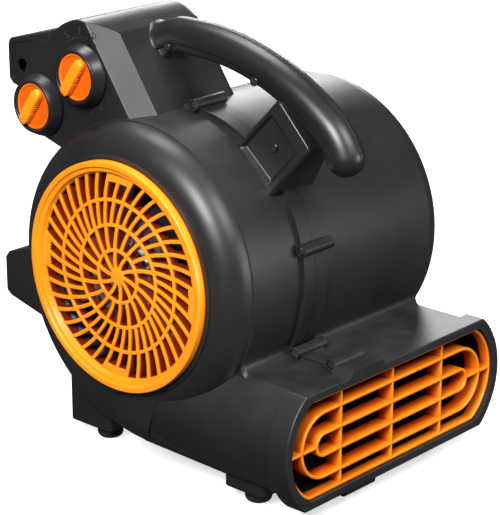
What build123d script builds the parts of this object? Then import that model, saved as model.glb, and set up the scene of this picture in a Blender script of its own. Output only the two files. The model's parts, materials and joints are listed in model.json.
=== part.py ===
from build123d import *
import math
import os

# Compact centrifugal air mover: a snail-shell blower in two moulded halves.
# Working frame: the fan axis is X, air leaves towards -Y, up is +Z, and the
# origin is on the fan axis midway between the two inlet grilles. The finished
# pieces are shifted so that the origin is under the middle of the object,
# on the surface it stands on. Millimetres throughout.

# ---------------------------------------------------------------- housing
wall = 3.5                  # moulded wall
seam_x = -39.5              # plane where the two halves meet
seam_gap = 0.1              # half of the joint line between the two halves

drum_radius = 118.0
tongue_angle = 75.0         # the drum's arc runs this far below the level front
side_x = 131.0              # flat side wall, outside face
shoulder = 23.0             # rounding from side wall to band
band_step = 1.0             # band stands proud of the shoulder
band_edge = 0.4             # and stops this short of where the shoulder begins
band_half = side_x - shoulder - band_edge

back_drop = 2.0             # volute: the back arc is this much lower and larger
back_radius = drum_radius + back_drop
low_growth = 20.0           # volute: and the bottom arc is larger again
low_radius = back_radius + low_growth
low_centre_y = back_radius - low_radius
volute_floor = -back_drop - low_radius
outlet_reach = 54.8         # the outlet collar's face stands this far in front of the drum
front_reach = drum_radius + outlet_reach
back_stand = 54.2           # and the rear pads this far behind the volute
back_reach = back_radius + back_stand

# ---------------------------------------------------------------- outlet duct
duct_height = 89.0
duct_drop = 8.0             # the duct's floor is this much lower than the volute's
duct_bottom = volute_floor - duct_drop
duct_top = duct_bottom + duct_height
ground_clear = 20.0         # duct floor above the ground
fan_height = ground_clear - duct_bottom
duct_corner = 105.0         # half width at the top and bottom corners
duct_bulge = 129.0          # half width at mid height
crease_y = -math.sqrt(drum_radius ** 2 - duct_top ** 2)     # where the duct's roof meets the drum
duct_start = crease_y + 6.0   # the duct keeps one section from here forward
duct_blend = -15.0          # and meets the volute here
duct_edge_radius = 3.0
collar_depth = 17.5
collar_top = duct_top + 1.5
collar_bottom = duct_bottom - 3.4
collar_corner = 111.0
collar_bulge = 133.5
lip_width = 6.5
mouth_depth = 14.0
crease_radius = 7.0

# ---------------------------------------------------------------- seam
flange_half = 13.0          # raised band either side of the seam
flange_rise = 2.5
groove_width = 7.0
groove_depth = 1.5
boss_radius = 4.8
boss_half = 17.5            # boss length either side of the seam
screw_radius = 1.9
screw_head_radius = 3.6
screw_head_height = 2.6
head_pocket = 5.0
shank_clear = 0.15
thread_clear = 0.05
boss_lift = 5.0             # boss centre line above the drum surface
seam_pad_depth = 19.0       # raised pad on the collar in front of the boss
seam_pad_rise = 4.0
seam_pad_slope = 3.0

# ---------------------------------------------------------------- inlets
inlet_bore = 84.0
rim_radius = inlet_bore + 8.0
rim_inner = inlet_bore - 1.0
rim_depth = 8.6
rim_seat_gap = 0.2
rim_lip_gap = 0.8
lip_ring = 2.5
lip_rise = 1.6
spigot_clear = 0.4
spigot_radius = inlet_bore - spigot_clear
spigot_wall = 2.0
spigot_depth = 6.0
cone_throat = inlet_bore - 10.0
cone_reach = 103.0          # inner end of the inlet cone
cone_wall = 2.5
slot_reach = spigot_radius - 1.6
# inner radius, outer radius, number of slots and swirl in degrees of each ring of slots
slot_rings = ((6.0, 19.6, 10, 12.0), (22.4, 39.6, 20, 7.0), (42.4, 59.6, 40, 6.0),
              (62.4, slot_reach, 40, 6.5))
short_slot = 6.0            # pairs of outer slots stop short at each quarter turn
short_first = 3             # number of the first short slot
vane_width = 3.0
vane_depth = 6.0
grille_front_inset = 5.5    # vanes lie this far behind the rim's front edge

# ---------------------------------------------------------------- outlet grille
grille_recess = 3.3
grille_gap = 0.3
grille_bar = 2.6
frame_depth = 9.0
blade_depth = 14.0
ring_outer = (112.5, 27.6)  # half length and half height of the larger ring
ring_inner = (95.3, 10.1)
rib_pitch = 62.5

# ---------------------------------------------------------------- impeller
wheel_radius = 88.0
wheel_inner = 72.0
wheel_half = 94.0
wheel_ring = 4.0
blade_count = 36
blade_thickness = 1.4
blade_lean = 14.0           # degrees from the inner to the outer edge of a blade
web_thickness = 3.0
hub_outer = 13.0
hub_length = 30.0
shaft_radius = 4.0
shaft_clear = 0.05

# ---------------------------------------------------------------- motor
motor_radius = 47.0
motor_far = -118.0          # left face of the motor
motor_length = 68.0
motor_near = motor_far + motor_length
stack_length = 34.0
bell_wall = 2.5
bearing_radius = 9.0
bearing_length = 9.0
rotor_gap = 0.4
rotor_radius = 26.0
winding_reach = 9.0
tie_radius = 2.0
tie_circle = 40.5
tie_count = 3
stack_radius = 44.0
stack_clear = 0.1
bracket_arms = 3
arm_width = 14.0
arm_thickness = 3.0
bracket_ring = 22.0
mount_screw_circle = 16.0
lug_circle = 74.0
lug_radius = 4.5

# ---------------------------------------------------------------- tower
tower_left = -104.0         # face of the control panel
tower_right = 9.0
tower_corner = 20.0         # bevel between the panel and the front face: width across
bevel_depth = 9.0           # and depth from the front face
tower_wall = 3.5
panel_thickness = 3.0
panel_clear = 0.15
panel_ledge = 2.0
tower_foot = (3.4, drum_radius)             # front face meets the drum
tower_front_top = (43.3, drum_radius + 58.4)
tower_ridge = (66.0, drum_radius + 72.0)
tower_rear_y = drum_radius + 18.0
tower_rear = [(88.0, drum_radius + 62.0), (110.0, drum_radius + 45.0),
              (tower_rear_y - 5.0, drum_radius + 23.0), (tower_rear_y, drum_radius + 4.0),
              (tower_rear_y, drum_radius - 26.0)]
tower_root = (60.0, 70.0)   # buried in the drum
tower_bends = (7.0, 30.0, 30.0, 30.0, 12.0, 12.0, 0.0)   # rounding of the corners named above, in order
tower_right_bend = 9.0
tower_left_bend = 1.2
knob_centres = {"speed": (63.0, drum_radius + 25.5), "timer": (tower_rear_y - 23.5, drum_radius - 6.0)}

# ---------------------------------------------------------------- knobs
knob_base_radius = 25.5
knob_face_radius = 21.5
knob_height = 11.0
knob_gap = 0.6
insert_radius = 18.6
insert_clear = 0.15
insert_recess = 2.6
insert_thickness = 2.2
grip_half_width = 4.6
grip_rise = 7.0
spindle_radius = 3.0
spindle_clear = 0.06
bush_radius = 5.0
nut_radius = 8.0
nut_thickness = 2.4
switch_half = 15.0
switch_depth = 24.0
timer_radius = 17.5
timer_depth = 30.0
dial_rest = {"speed": 125.0, "timer": 125.0}    # direction of the grip, from the level back

# ---------------------------------------------------------------- handle
handle_top = drum_radius + 68.2
handle_radius = 14.8
handle_wall = 2.8
handle_arch = 236.0         # radius of the top line of the arch
arch_start = 4.0            # y where the arch leaves the level run
arch_angle = 38.0           # degrees of arch before the nose turns down
nose_radius = 66.0
nose_angle = 30.0
handle_rear = 42.0          # y of the rear end
handle_flange = 18.0
flange_height = drum_radius + 47.0
flange_thickness = 4.0
leg_foot_x = (-65.0, -14.0)
leg_neck_x = (-53.0, -26.0)
leg_rear_line = [(-61.0, drum_radius - 16.0), (-90.0, drum_radius + 21.0)]
leg_front_line = [(-98.0, drum_radius - 48.0), (-123.0, drum_radius - 14.0)]
leg_wall = 4.0
leg_corner = 6.0
leg_root = 20.0             # trimmed to the drum
handle_screw_depth = 5.5    # head pocket in the side of the grip
leg_screw_place = (-91.5, drum_radius - 14.0)
leg_screw_depth = 7.0
seat_clear = 0.15

# ---------------------------------------------------------------- inside the tower
capacitor_radius = 16.0
capacitor_length = 52.0
capacitor_angle = 62.0      # where it lies on the drum, from the level back
capacitor_end = -10.0
capacitor_seat = 0.2
terminal_x = 18.0
terminal_y = (72.0, 104.0)
terminal_z = (drum_radius + 21.0, drum_radius + 34.0)
gland_place = (100.0, drum_radius + 6.0)
gland_radius = 8.0
gland_bore = 4.2
gland_reach = 9.0

# ---------------------------------------------------------------- feet
foot_radius = 10.8
foot_height = 12.0
foot_dome = 4.5
front_foot = (90.0, 11.0 - drum_radius)
rear_foot = (80.0, 68.0)
front_block_x = (74.0, 108.0)
front_block_y = (-(drum_radius + 9.0), -(drum_radius - 32.0))
rear_block_x = (62.0, 98.0)
rear_block_y = (50.0, 98.0)
rear_block_root = volute_floor + 54.0
block_corner = 5.0
block_edge = 1.5
block_floor = 9.0
foot_pocket = 5.0
pad_radius = 9.0
pad_peg_radius = 3.0
pad_peg_length = 5.0
peg_clear = 0.05
block_wall = 3.2
pad_thickness = 4.0
rear_face = back_reach - pad_thickness
rear_block_top = [(tower_rear_y - 18.0, drum_radius + 50.0), (rear_face - 2.2, drum_radius + 37.0),
                  (rear_face, drum_radius + 32.0), (rear_face, drum_radius + 4.0),
                  (rear_face - 4.2, drum_radius - 1.0), (tower_rear_y - 8.0, drum_radius - 8.0)]
rear_block_top_x = (-88.0, -8.0)
rear_block_bend = 3.0
rear_block_side_bend = 2.0
rear_block_hole = (rear_face - 16.2, drum_radius + 16.0, 6.0)
rear_block_border = 4.5     # frame round the recess in its left face
rear_block_recess = 1.2
rear_block_low = [(back_radius - 8.0, -6.0), (rear_face - 4.2, -25.0), (rear_face, -30.0), (rear_face, -60.0),
                  (rear_face - 5.2, -64.0), (back_radius - 12.0, -78.0)]
rear_block_low_x = (56.0, 100.0)

fan_y = (front_reach - back_reach) / 2.0

os.makedirs("parts", exist_ok=True)
made = {}


def keep(name, shape):
    """Move a finished piece from the fan frame to the floor frame and write it."""
    placed = Pos(0, fan_y, fan_height) * shape
    made[name] = placed
    export_step(placed, "parts/" + name + ".step")


def yz_face(points):
    """Flat face from (y, z) corners, facing +X."""
    return Plane.YZ * make_face(Polyline(*points, close=True))


def yz_prism(points, x_low, x_high):
    """Outline in (y, z) carried from x_low to x_high."""
    return Pos(x_low, 0, 0) * extrude(yz_face(points), x_high - x_low)


def x_cylinder(radius, x_low, x_high, y=0.0, z=0.0):
    """Round bar along X."""
    disc = Plane.YZ * Circle(radius)
    return Pos(x_low, y, z) * extrude(disc, x_high - x_low)


def x_tube(outer, inner, x_low, x_high, y=0.0, z=0.0):
    return x_cylinder(outer, x_low, x_high, y, z) - x_cylinder(inner, x_low - 1, x_high + 1, y, z)


def x_revolve(points):
    """Outline in (x, radius) turned about the fan axis."""
    return revolve(make_face(Polyline(*points, close=True)), Axis.X, 360)


def solid_box(x_range, y_range, z_range):
    size = [high - low for low, high in (x_range, y_range, z_range)]
    middle = [(high + low) / 2 for low, high in (x_range, y_range, z_range)]
    return Pos(*middle) * Box(*size)


def group(pieces):
    """Several separate solids in one node."""
    return Compound(children=[solid for piece in pieces for solid in piece.solids()])


# ================================================================ housing shape
def snail(inset, half, bend):
    """Snail-shell outline in (y, z), carried across the width, its side edges rounded by bend.

    Three tangent arcs: the drum round the front and over the top, a slightly
    larger one down the back, and a larger one again under the back.
    """
    front = drum_radius - inset
    back = back_radius - inset
    low = low_radius - inset
    tongue = math.radians(tongue_angle)
    diag = math.sqrt(0.5)
    tongue_point = (-front * math.cos(tongue), -front * math.sin(tongue))
    top_point = (0, front)
    back_point = (back, -back_drop)
    low_point = (low_centre_y, -back_drop - low)
    with BuildPart() as part:
        with BuildSketch(Plane.YZ.offset(-half)):
            with BuildLine():
                ThreePointArc(tongue_point, (-front * diag, front * diag), top_point)
                ThreePointArc(top_point, (back * diag, -back_drop + back * diag), back_point)
                ThreePointArc(back_point, (low_centre_y + low * diag, -back_drop - low * diag), low_point)
                Line(low_point, tongue_point)
            make_face()
        extrude(amount=2 * half)
        if bend:
            fillet(part.edges().filter_by(GeomType.CIRCLE), bend)
    return part.part


def barrel(y, corner, bulge, top, bottom, edge):
    """Duct section at y: flat top and bottom, bowed sides, softened corners."""
    mid = (top + bottom) / 2
    with BuildSketch(Plane.XZ.offset(-y)) as sketch:
        with BuildLine():
            Line((-corner, top), (corner, top))
            ThreePointArc((corner, top), (bulge, mid), (corner, bottom))
            Line((corner, bottom), (-corner, bottom))
            ThreePointArc((-corner, bottom), (-bulge, mid), (-corner, top))
        make_face()
        fillet(sketch.vertices(), edge)
    return sketch.sketch


def duct(inset, front):
    """Outlet duct: one section forward of duct_start, easing into the volute behind it."""
    edge = duct_edge_radius
    top = duct_top - inset
    bottom = duct_bottom + inset
    fore = barrel(front, duct_corner - inset, duct_bulge - inset, top, bottom, edge)
    middle = barrel(duct_start, duct_corner - inset, duct_bulge - inset, top, bottom, edge)
    aft = barrel(duct_blend, side_x - inset - 2, side_x - inset - 0.2, top, volute_floor + inset + 0.2,
                 shoulder - inset)
    return loft([fore, middle, aft], ruled=True)


def collar():
    section = barrel(-front_reach + collar_depth, collar_corner, collar_bulge, collar_top, collar_bottom,
                     duct_edge_radius)
    body = extrude(section, collar_depth)
    front_edges = body.faces().sort_by(Axis.Y)[0].edges()
    return fillet(front_edges, 1.2)


def mouth(extra, front, back):
    """Opening through the collar, with its outline `extra` inside the lip."""
    step = lip_width + extra
    section = barrel(back, collar_corner - step, collar_bulge - step, collar_top - step, collar_bottom + step,
                     duct_edge_radius)
    return extrude(section, back - front)


def tower_outline(inset):
    """Side view of the tower in (y, z), pulled in by inset."""
    lean = (tower_front_top[0] - tower_foot[0]) / (tower_front_top[1] - tower_foot[1])
    buried = (tower_foot[0] - 16.0 * lean, tower_foot[1] - 16.0)
    face = make_face(Polyline(buried, tower_front_top, tower_ridge, *tower_rear, tower_root, close=True))
    for (y, z), bend in zip([tower_front_top, tower_ridge, *tower_rear], tower_bends):
        corner = [vertex for vertex in face.vertices() if math.hypot(vertex.X - y, vertex.Y - z) < 0.1]
        if bend:
            face = fillet(corner, bend)
    if inset:
        face = offset(face, amount=-inset, kind=Kind.INTERSECTION)
    return Plane.YZ * face


def bevel_wedge(shift):
    """Everything in front of the slanting corner face, in line with the leaning front face."""
    slope = bevel_depth / tower_corner
    start = tower_left - 5.0
    end = tower_left + tower_corner + shift / slope
    wedge = make_face(Polyline((start, -60), (start, bevel_depth + 5.0 * slope + shift), (end, 0), (end, -60),
                               close=True))
    lean = math.degrees(math.atan2(tower_front_top[0] - tower_foot[0], tower_front_top[1] - tower_foot[1]))
    return Pos(0, *tower_foot) * Rot(-lean, 0, 0) * extrude(wedge, 200, both=True)


def tower(inset, left, right):
    """Tower block between two planes, with its left front corner bevelled."""
    block = Pos(left, 0, 0) * extrude(tower_outline(inset), right - left)
    bend = tower_right_bend - inset
    if right > tower_right - tower_wall - 1 and bend > 0:
        block = fillet(block.faces().sort_by(Axis.X)[-1].edges(), bend)
    block = block - bevel_wedge(inset)
    if inset == 0:
        block = fillet(block.faces().sort_by(Axis.X)[0].edges(), tower_left_bend)
    return block


# ================================================================ seam hardware
def on_arc(centre, radius, degrees):
    turn = math.radians(degrees)
    return (centre[0] + radius * math.cos(turn), centre[1] + radius * math.sin(turn))


seam_places = [
    on_arc((0, 0), drum_radius + boss_lift, 94.0),
    on_arc((0, 0), drum_radius + boss_lift, 167.0),
    (duct_start - 18.0, duct_top + boss_radius - 0.6),
    (-front_reach + seam_pad_depth + 3.5, collar_top + boss_radius - 1.3),
    (-front_reach + 9.0, collar_bottom - boss_radius + 1.7),
    on_arc((0, -back_drop), back_radius + boss_lift, 25.0),
    on_arc((low_centre_y, -back_drop), low_radius + boss_lift, -35.0),
    on_arc((low_centre_y, -back_drop), low_radius + boss_lift, -90.0),
]


def seam_bosses():
    return [x_cylinder(boss_radius, seam_x - boss_half, seam_x + boss_half, y, z) for y, z in seam_places]


def seam_holes():
    """Head pocket, clearance hole on the left and thread hole on the right."""
    holes = []
    for y, z in seam_places:
        floor = seam_x - boss_half + head_pocket
        holes.append(x_cylinder(screw_head_radius + 0.3, seam_x - boss_half - 30, floor, y, z))
        holes.append(x_cylinder(screw_radius + shank_clear, floor - 1, seam_x, y, z))
        holes.append(x_cylinder(screw_radius + thread_clear, seam_x - 1, seam_x + boss_half - 2, y, z))
    return holes


def screw(length, radius=screw_radius, head=screw_head_radius, cap=screw_head_height):
    """Pan-head screw along +X, its head's underside at the origin, with a cross recess."""
    body = x_cylinder(radius, -cap, length) + x_cylinder(head, -cap, 0)
    slot = solid_box((-cap - 1, -cap + 1.2), (-head * 0.6, head * 0.6), (-0.5, 0.5))
    return body - slot - Rot(90, 0, 0) * slot


def housing_screws():
    floor = seam_x - boss_half + head_pocket
    return group([Pos(floor, y, z) * screw(2 * boss_half - head_pocket - 3) for y, z in seam_places])


# ================================================================ housing halves
def seam_pad():
    """Raised pad with sloping ends on top of the collar, in front of the seam boss."""
    low = collar_top - 3.0
    high = collar_top + seam_pad_rise
    foot_half = boss_half + seam_pad_slope
    outline = [(-foot_half, low), (-foot_half, collar_top), (-boss_half, high), (boss_half, high),
               (foot_half, collar_top), (foot_half, low)]
    face = Plane.XZ * make_face(Polyline(*outline, close=True))
    return Pos(seam_x, -front_reach + seam_pad_depth, 0) * extrude(face, seam_pad_depth)


def foot_block(side, x_range, y_range, root):
    """Moulded block under the shell that a rubber foot is screwed to."""
    low = -fan_height + foot_height
    x_low, x_high = sorted((side * x_range[0], side * x_range[1]))
    block = solid_box((x_low, x_high), y_range, (low, root))
    block = fillet(block.edges().filter_by(Axis.Z), block_corner)
    return fillet(block.faces().sort_by(Axis.Z)[0].edges(), block_edge)


def foot_places():
    places = []
    for side in (-1, 1):
        places.append((side * front_foot[0], front_foot[1]))
        places.append((side * rear_foot[0], rear_foot[1]))
    return places


def foot_blocks():
    shapes = []
    for side in (-1, 1):
        shapes.append(foot_block(side, front_block_x, front_block_y, duct_bottom + 6))
        shapes.append(foot_block(side, rear_block_x, rear_block_y, rear_block_root))
    return shapes


def foot_block_rooms():
    """The tall rear foot blocks are hollow and open at the back."""
    low = -fan_height + foot_height + block_floor
    rooms = []
    for side in (-1, 1):
        x_low, x_high = sorted((side * (rear_block_x[0] + block_wall), side * (rear_block_x[1] - block_wall)))
        rooms.append(solid_box((x_low, x_high), (rear_block_y[0] + block_wall, rear_block_y[1] + 5),
                               (low, rear_block_root)))
    return rooms


def rear_blocks():
    """Blocks at the back that the machine can stand on, as (shape, hollow) pairs."""
    pairs = [(rear_block_top, rear_block_top_x)]
    for side in (-1, 1):
        span = sorted((side * rear_block_low_x[0], side * rear_block_low_x[1]))
        pairs.append((rear_block_low, tuple(span)))
    return pairs


def rear_block(outline, span):
    block = yz_prism(outline, *span)
    outer = [edge for edge in block.edges().filter_by(Axis.X) if edge.center().Y > back_radius + 20]
    block = fillet(outer, rear_block_bend)
    sides = [edge for face in block.faces().filter_by(Plane.YZ) for edge in face.edges()
             if edge.center().Y > back_radius - 2]
    return fillet(sides, rear_block_side_bend)


def rear_block_panel():
    """Shallow recess in the left face of the upper rear block."""
    outline = make_face(Polyline(*rear_block_top, close=True))
    face = offset(outline, amount=-rear_block_border, kind=Kind.INTERSECTION)
    cut = Pos(rear_block_top_x[0] - 1, 0, 0) * extrude(Plane.YZ * face, 1 + rear_block_recess)
    return cut & solid_box((-200, 200), (tower_rear_y + rear_block_border, 300), (-200, 300))


def pad_places():
    """(x, z) of the rear pads."""
    top = [(rear_block_top_x[0] + 17.0, drum_radius + 18.0), (rear_block_top_x[1] - 17.0, drum_radius + 18.0)]
    low = [(side * 84.0, -45.0) for side in (-1, 1)]
    return top + low


def lip_rings():
    rings = []
    inner = rim_radius + rim_lip_gap
    for side in (-1, 1):
        low, high = sorted((side * (side_x - 1), side * (side_x + lip_rise)))
        rings.append(x_tube(inner + lip_ring, inner, low, high))
    return rings


def inlet_cones():
    """Bell mouths that lead the air from the bores to the wheel."""
    cones = []
    wall_in = side_x - wall
    straight = side_x - spigot_depth - 1.0
    skin = cone_wall
    for side in (-1, 1):
        outline = [(wall_in + 1.5, inlet_bore + skin + 1.0), (wall_in + 1.5, inlet_bore),
                   (straight, inlet_bore), (straight - 3, inlet_bore - 2.5), (cone_reach, cone_throat),
                   (cone_reach, cone_throat + skin), (straight - 4, inlet_bore - 2.5 + skin),
                   (straight - 1, inlet_bore + skin), (wall_in - 0.5, inlet_bore + skin + 1.0)]
        cones.append(x_revolve([(side * x, r) for x, r in outline]))
    return cones


def upper_half_only(shape, floor):
    return shape & solid_box((-200, 200), (-250, 250), (floor, 300))


def whole_housing():
    band = snail(0, band_half, 0)
    body = snail(band_step, side_x, shoulder) + band
    body = body + duct(0, -front_reach + collar_depth - 0.5) + collar()
    crease = [edge for edge in body.edges().filter_by(GeomType.LINE)
              if abs(edge.center().Z - duct_top) < 0.6 and edge.length > 60
              and abs(edge.center().Y - crease_y) < 2.0]
    if crease:
        body = fillet(crease, crease_radius)
    flange = Pos(seam_x, 0, 0) * snail(-flange_rise, flange_half, 0)
    body = body + flange
    groove_x = seam_x - flange_half - groove_width / 2
    groove = Pos(groove_x, 0, 0) * (snail(-9, groove_width / 2, 0) - snail(groove_depth, groove_width, 0))
    body = body - upper_half_only(groove, duct_top + 8)
    body = body + solid_box((seam_x - flange_half, seam_x + flange_half),
                            (-front_reach + 3.0, duct_start + 5), (duct_top - 2, duct_top + flange_rise))
    body = body + tower(0, tower_left, tower_right)
    for outline, span in rear_blocks():
        body = body + rear_block(outline, span)
    for block in foot_blocks():
        body = body + block
    for ring in lip_rings():
        body = body + ring
    body = body + seam_pad()
    for boss in seam_bosses():
        body = body + boss
    return body, band


def hollow(body, band):
    inside = snail(band_step + wall, side_x - wall, shoulder - wall) + duct(wall, -front_reach + 12.0)
    kept = snail(0, side_x + 5, 0)
    room = tower(tower_wall, tower_left + panel_thickness, tower_right - tower_wall)
    seat = tower(tower_wall - panel_ledge, tower_left - 1, tower_left + panel_thickness)
    body = body - (room - kept) - (seat - kept)
    for outline, span in rear_blocks():
        face = offset(make_face(Polyline(*outline, close=True)), amount=-block_wall, kind=Kind.INTERSECTION)
        inner_span = [span[0] + block_wall, span[1] - block_wall]
        if outline is rear_block_low:
            inner_span[0 if span[0] > 0 else 1] += -10 if span[0] > 0 else 10
        void = Pos(inner_span[0], 0, 0) * extrude(Plane.YZ * face, inner_span[1] - inner_span[0])
        clear_y = tower_rear[-1][0] if outline is rear_block_top else 0
        body = body - ((void - kept) & solid_box((-200, 200), (clear_y, 300), (-200, 300)))
    for room in foot_block_rooms():
        body = body - (room - kept)
    body = body - inside - mouth(0, -front_reach - 1, -front_reach + mouth_depth)
    for side in (-1, 1):
        low, high = sorted((side * (side_x - wall - 4), side * (side_x + 5)))
        body = body - x_cylinder(inlet_bore, low, high)
    for cone in inlet_cones():
        body = body + cone
    return body


def motor_lugs():
    """Posts on the left inlet cone that carry the motor bracket."""
    return [x_cylinder(lug_radius, motor_far, -cone_reach, *on_arc((0, 0), lug_circle, angle))
            for angle in arm_angles()]


def arm_angles():
    return [90.0 + 360.0 * i / bracket_arms for i in range(bracket_arms)]


def housing_halves():
    body, band = whole_housing()
    body = hollow(body, band)
    for lug in motor_lugs():
        body = body + lug
    cuts = seam_holes()
    for angle in arm_angles():
        cuts.append(x_cylinder(screw_radius + thread_clear, motor_far - 1, motor_far + 10,
                               *on_arc((0, 0), lug_circle, angle)))
    for x, y in foot_places():
        cuts.append(Pos(x, y, -fan_height + foot_height) * Cylinder(screw_radius + thread_clear, 14))
    peg_hole = pad_peg_radius + peg_clear
    for x, z in pad_places():
        cuts.append(y_cylinder(peg_hole, rear_face - pad_peg_length - 1, rear_face + 1, x, z))
    cuts.append(x_cylinder(gland_radius - 2.0 + peg_clear, tower_right - 10, tower_right + 10, *gland_place))
    cuts.append(rear_block_panel())
    hole_y, hole_z, hole_r = rear_block_hole
    block_left = rear_block_top_x[0]
    cuts.append(x_cylinder(hole_r, block_left - 5, block_left + block_wall + 1, hole_y, hole_z))
    for cut in cuts:
        body = body - cut
    big = 400
    left = body & solid_box((-big, seam_x - seam_gap), (-big, big), (-big, big))
    right = body & solid_box((seam_x + seam_gap, big), (-big, big), (-big, big))
    return left, right


def y_cylinder(radius, y_low, y_high, x=0.0, z=0.0):
    """Round bar along Y."""
    disc = Plane.XZ.offset(-y_low) * Circle(radius)
    return Pos(x, 0, z) * extrude(disc, -(y_high - y_low))


# ================================================================ grilles
def slot_wire(inner, outer, start, pitch, sweep):
    """One swirled air slot: radius runs inner to outer while the angle falls back by sweep degrees."""
    middle = (inner + outer) / 2

    def corner(radius, edge):
        half = math.degrees(vane_width / 2 / radius)
        turn = start - sweep * (radius - inner) / (outer - inner)
        turn += half if edge == 0 else pitch - half
        return on_arc((0, 0), radius, 180.0 - turn)

    def rim_middle(radius):
        turn = start - sweep * (radius - inner) / (outer - inner) + pitch / 2
        return on_arc((0, 0), radius, 180.0 - turn)

    with BuildLine() as line:
        ThreePointArc(corner(inner, 0), corner(middle, 0), corner(outer, 0))
        ThreePointArc(corner(outer, 0), rim_middle(outer), corner(outer, 1))
        ThreePointArc(corner(outer, 1), corner(middle, 1), corner(inner, 1))
        ThreePointArc(corner(inner, 1), rim_middle(inner), corner(inner, 0))
    return line.wires()[0]


def slot_wires():
    wires = []
    turned = 0.0
    for index, (inner, outer, count, sweep) in enumerate(slot_rings):
        pitch = 360.0 / count
        for k in range(count):
            reach = outer
            if index == len(slot_rings) - 1 and (k - short_first) % (count // 4) < 2:
                reach = outer - short_slot
            wires.append(slot_wire(inner, reach, k * pitch - turned - pitch, pitch,
                                   sweep * (reach - inner) / (outer - inner)))
        turned += sweep
    return wires


def inlet_grille():
    """Left inlet grille: swirled vanes in a stepped rim with a spigot that enters the bore."""
    with BuildLine() as edge:
        CenterArc((0, 0), spigot_radius - 1.0, 0, 360)
    plate = Face(edge.wires()[0], slot_wires())
    front = -side_x - rim_seat_gap - rim_depth
    vane_front = front + grille_front_inset
    disc = Pos(vane_front, 0, 0) * extrude(Plane.YZ * plate, vane_depth)
    back = -side_x - rim_seat_gap
    tail = -side_x + spigot_depth
    rim = x_revolve([(back, rim_radius), (front + 0.8, rim_radius), (front, rim_radius - 0.8),
                     (front, rim_radius - 3.6), (front + 1.3, rim_radius - 5.0),
                     (vane_front, rim_inner - 0.4), (vane_front, spigot_radius - spigot_wall),
                     (tail, spigot_radius - spigot_wall),
                     (tail, spigot_radius), (back, spigot_radius)])
    return disc + rim


def stadium(half_length, half_height):
    return SlotOverall(2 * half_length, 2 * half_height)


def outlet_grille():
    """Outlet grille: a frame that fills the mouth, two stadium rings, three ribs and end stubs."""
    front = -front_reach + grille_recess
    step = lip_width + grille_gap
    bar = grille_bar
    middle_z = (collar_top + collar_bottom) / 2
    outline = (collar_corner - step, collar_bulge - step, collar_top - step, collar_bottom + step)
    frame = barrel(front + frame_depth, *outline, duct_edge_radius)
    hole = barrel(front + frame_depth, outline[0] - bar, outline[1] - bar, outline[2] - bar, outline[3] + bar,
                  duct_edge_radius)
    frame = extrude(frame, frame_depth) - extrude(hole, frame_depth * 3, both=True)
    sheet = Plane.XZ.offset(-(front + blade_depth))
    rings = stadium(*ring_outer) - stadium(ring_outer[0] - bar, ring_outer[1] - bar)
    inner = stadium(*ring_inner) - stadium(ring_inner[0] - bar, ring_inner[1] - bar)
    half_height = (collar_top - collar_bottom) / 2 - step - bar / 2
    lattice = rings + inner
    for x in (-rib_pitch, 0.0, rib_pitch):
        lattice = lattice + Pos(x, 0) * Rectangle(bar, 2 * half_height - 3.0)
    for side in (-1, 1):
        start = ring_inner[0] - bar / 2
        end = outline[1] - bar / 2
        lattice = lattice + Pos(side * (start + end) / 2, 0) * Rectangle(end - start, bar)
    blades = extrude(sheet * Pos(0, middle_z) * lattice, blade_depth)
    caps = []
    for x in (-rib_pitch, 0.0, rib_pitch):
        caps.append(solid_box((x - bar / 2, x + bar / 2), (front, front + frame_depth),
                              (outline[3] + bar / 2, outline[2] - bar / 2)))
    grille = frame + blades
    for cap in caps:
        grille = grille + cap
    return grille


# ================================================================ handle
def handle_path():
    level = handle_top - handle_radius
    with BuildPart():
        with BuildLine(Plane.YZ.offset(seam_x)) as line:
            Line((handle_rear, level), (arch_start, level))
            JernArc((arch_start, level), (-1, 0), handle_arch - handle_radius, arch_angle)
            heading = (-math.cos(math.radians(arch_angle)), -math.sin(math.radians(arch_angle)))
            reach = handle_arch - handle_radius
            joint = (arch_start + reach * heading[1], level - reach * (1 + heading[0]))
            JernArc(joint, heading, nose_radius - handle_radius, nose_angle)
    return line.wires()[0]


def grip_centre(y):
    """Height of the grip's centre line at y, on the level run and the arch."""
    level = handle_top - handle_radius
    if y > arch_start:
        return level
    reach = handle_arch - handle_radius
    return level - reach + math.sqrt(reach ** 2 - (arch_start - y) ** 2)


def grip_bar(radius, path):
    start = Plane(origin=path @ 0, z_dir=path % 0)
    return sweep(start * Circle(radius), path=path) + Pos(*(path @ 1)) * Sphere(radius)


def leg_section(index, inset, drop):
    """Rounded rectangle across the leg at its neck (1) or foot (0), lowered by drop along the leg."""
    rear, front = leg_rear_line[index], leg_front_line[index]
    low, high = (leg_foot_x, leg_neck_x)[index]
    span = (rear[0] - front[0], rear[1] - front[1])
    depth = math.hypot(*span)
    down = (span[1] / depth, -span[0] / depth)
    middle = ((rear[0] + front[0]) / 2 + drop * down[0], (rear[1] + front[1]) / 2 + drop * down[1])
    plane = Plane(origin=((low + high) / 2, *middle), x_dir=(1, 0, 0), z_dir=(0, *down))
    corner = leg_corner - inset if leg_corner > inset + 0.5 else 0.5
    return plane * RectangleRounded(high - low - 2 * inset, depth - 2 * inset, corner)


def leg_block(inset):
    """Leg under the front of the grip, wider where it stands on the drum."""
    neck, foot, root = leg_section(1, inset, inset), leg_section(0, inset, 0), leg_section(0, inset, leg_root)
    return loft([neck, foot], ruled=True) + loft([foot, root], ruled=True)


def front_plane():
    """Frame of the tower's leaning front face: local -Y is outwards."""
    lean = math.degrees(math.atan2(tower_front_top[0] - tower_foot[0], tower_front_top[1] - tower_foot[1]))
    return Pos(0, *tower_foot) * Rot(-lean, 0, 0)


def handle_screw_places():
    path_end = handle_path() @ 1
    nose = (path_end.Y + 3.0, path_end.Z + 4.0)
    return [(23.0, grip_centre(23.0)), (-68.0, grip_centre(-68.0) - 1.0), nose]


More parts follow.
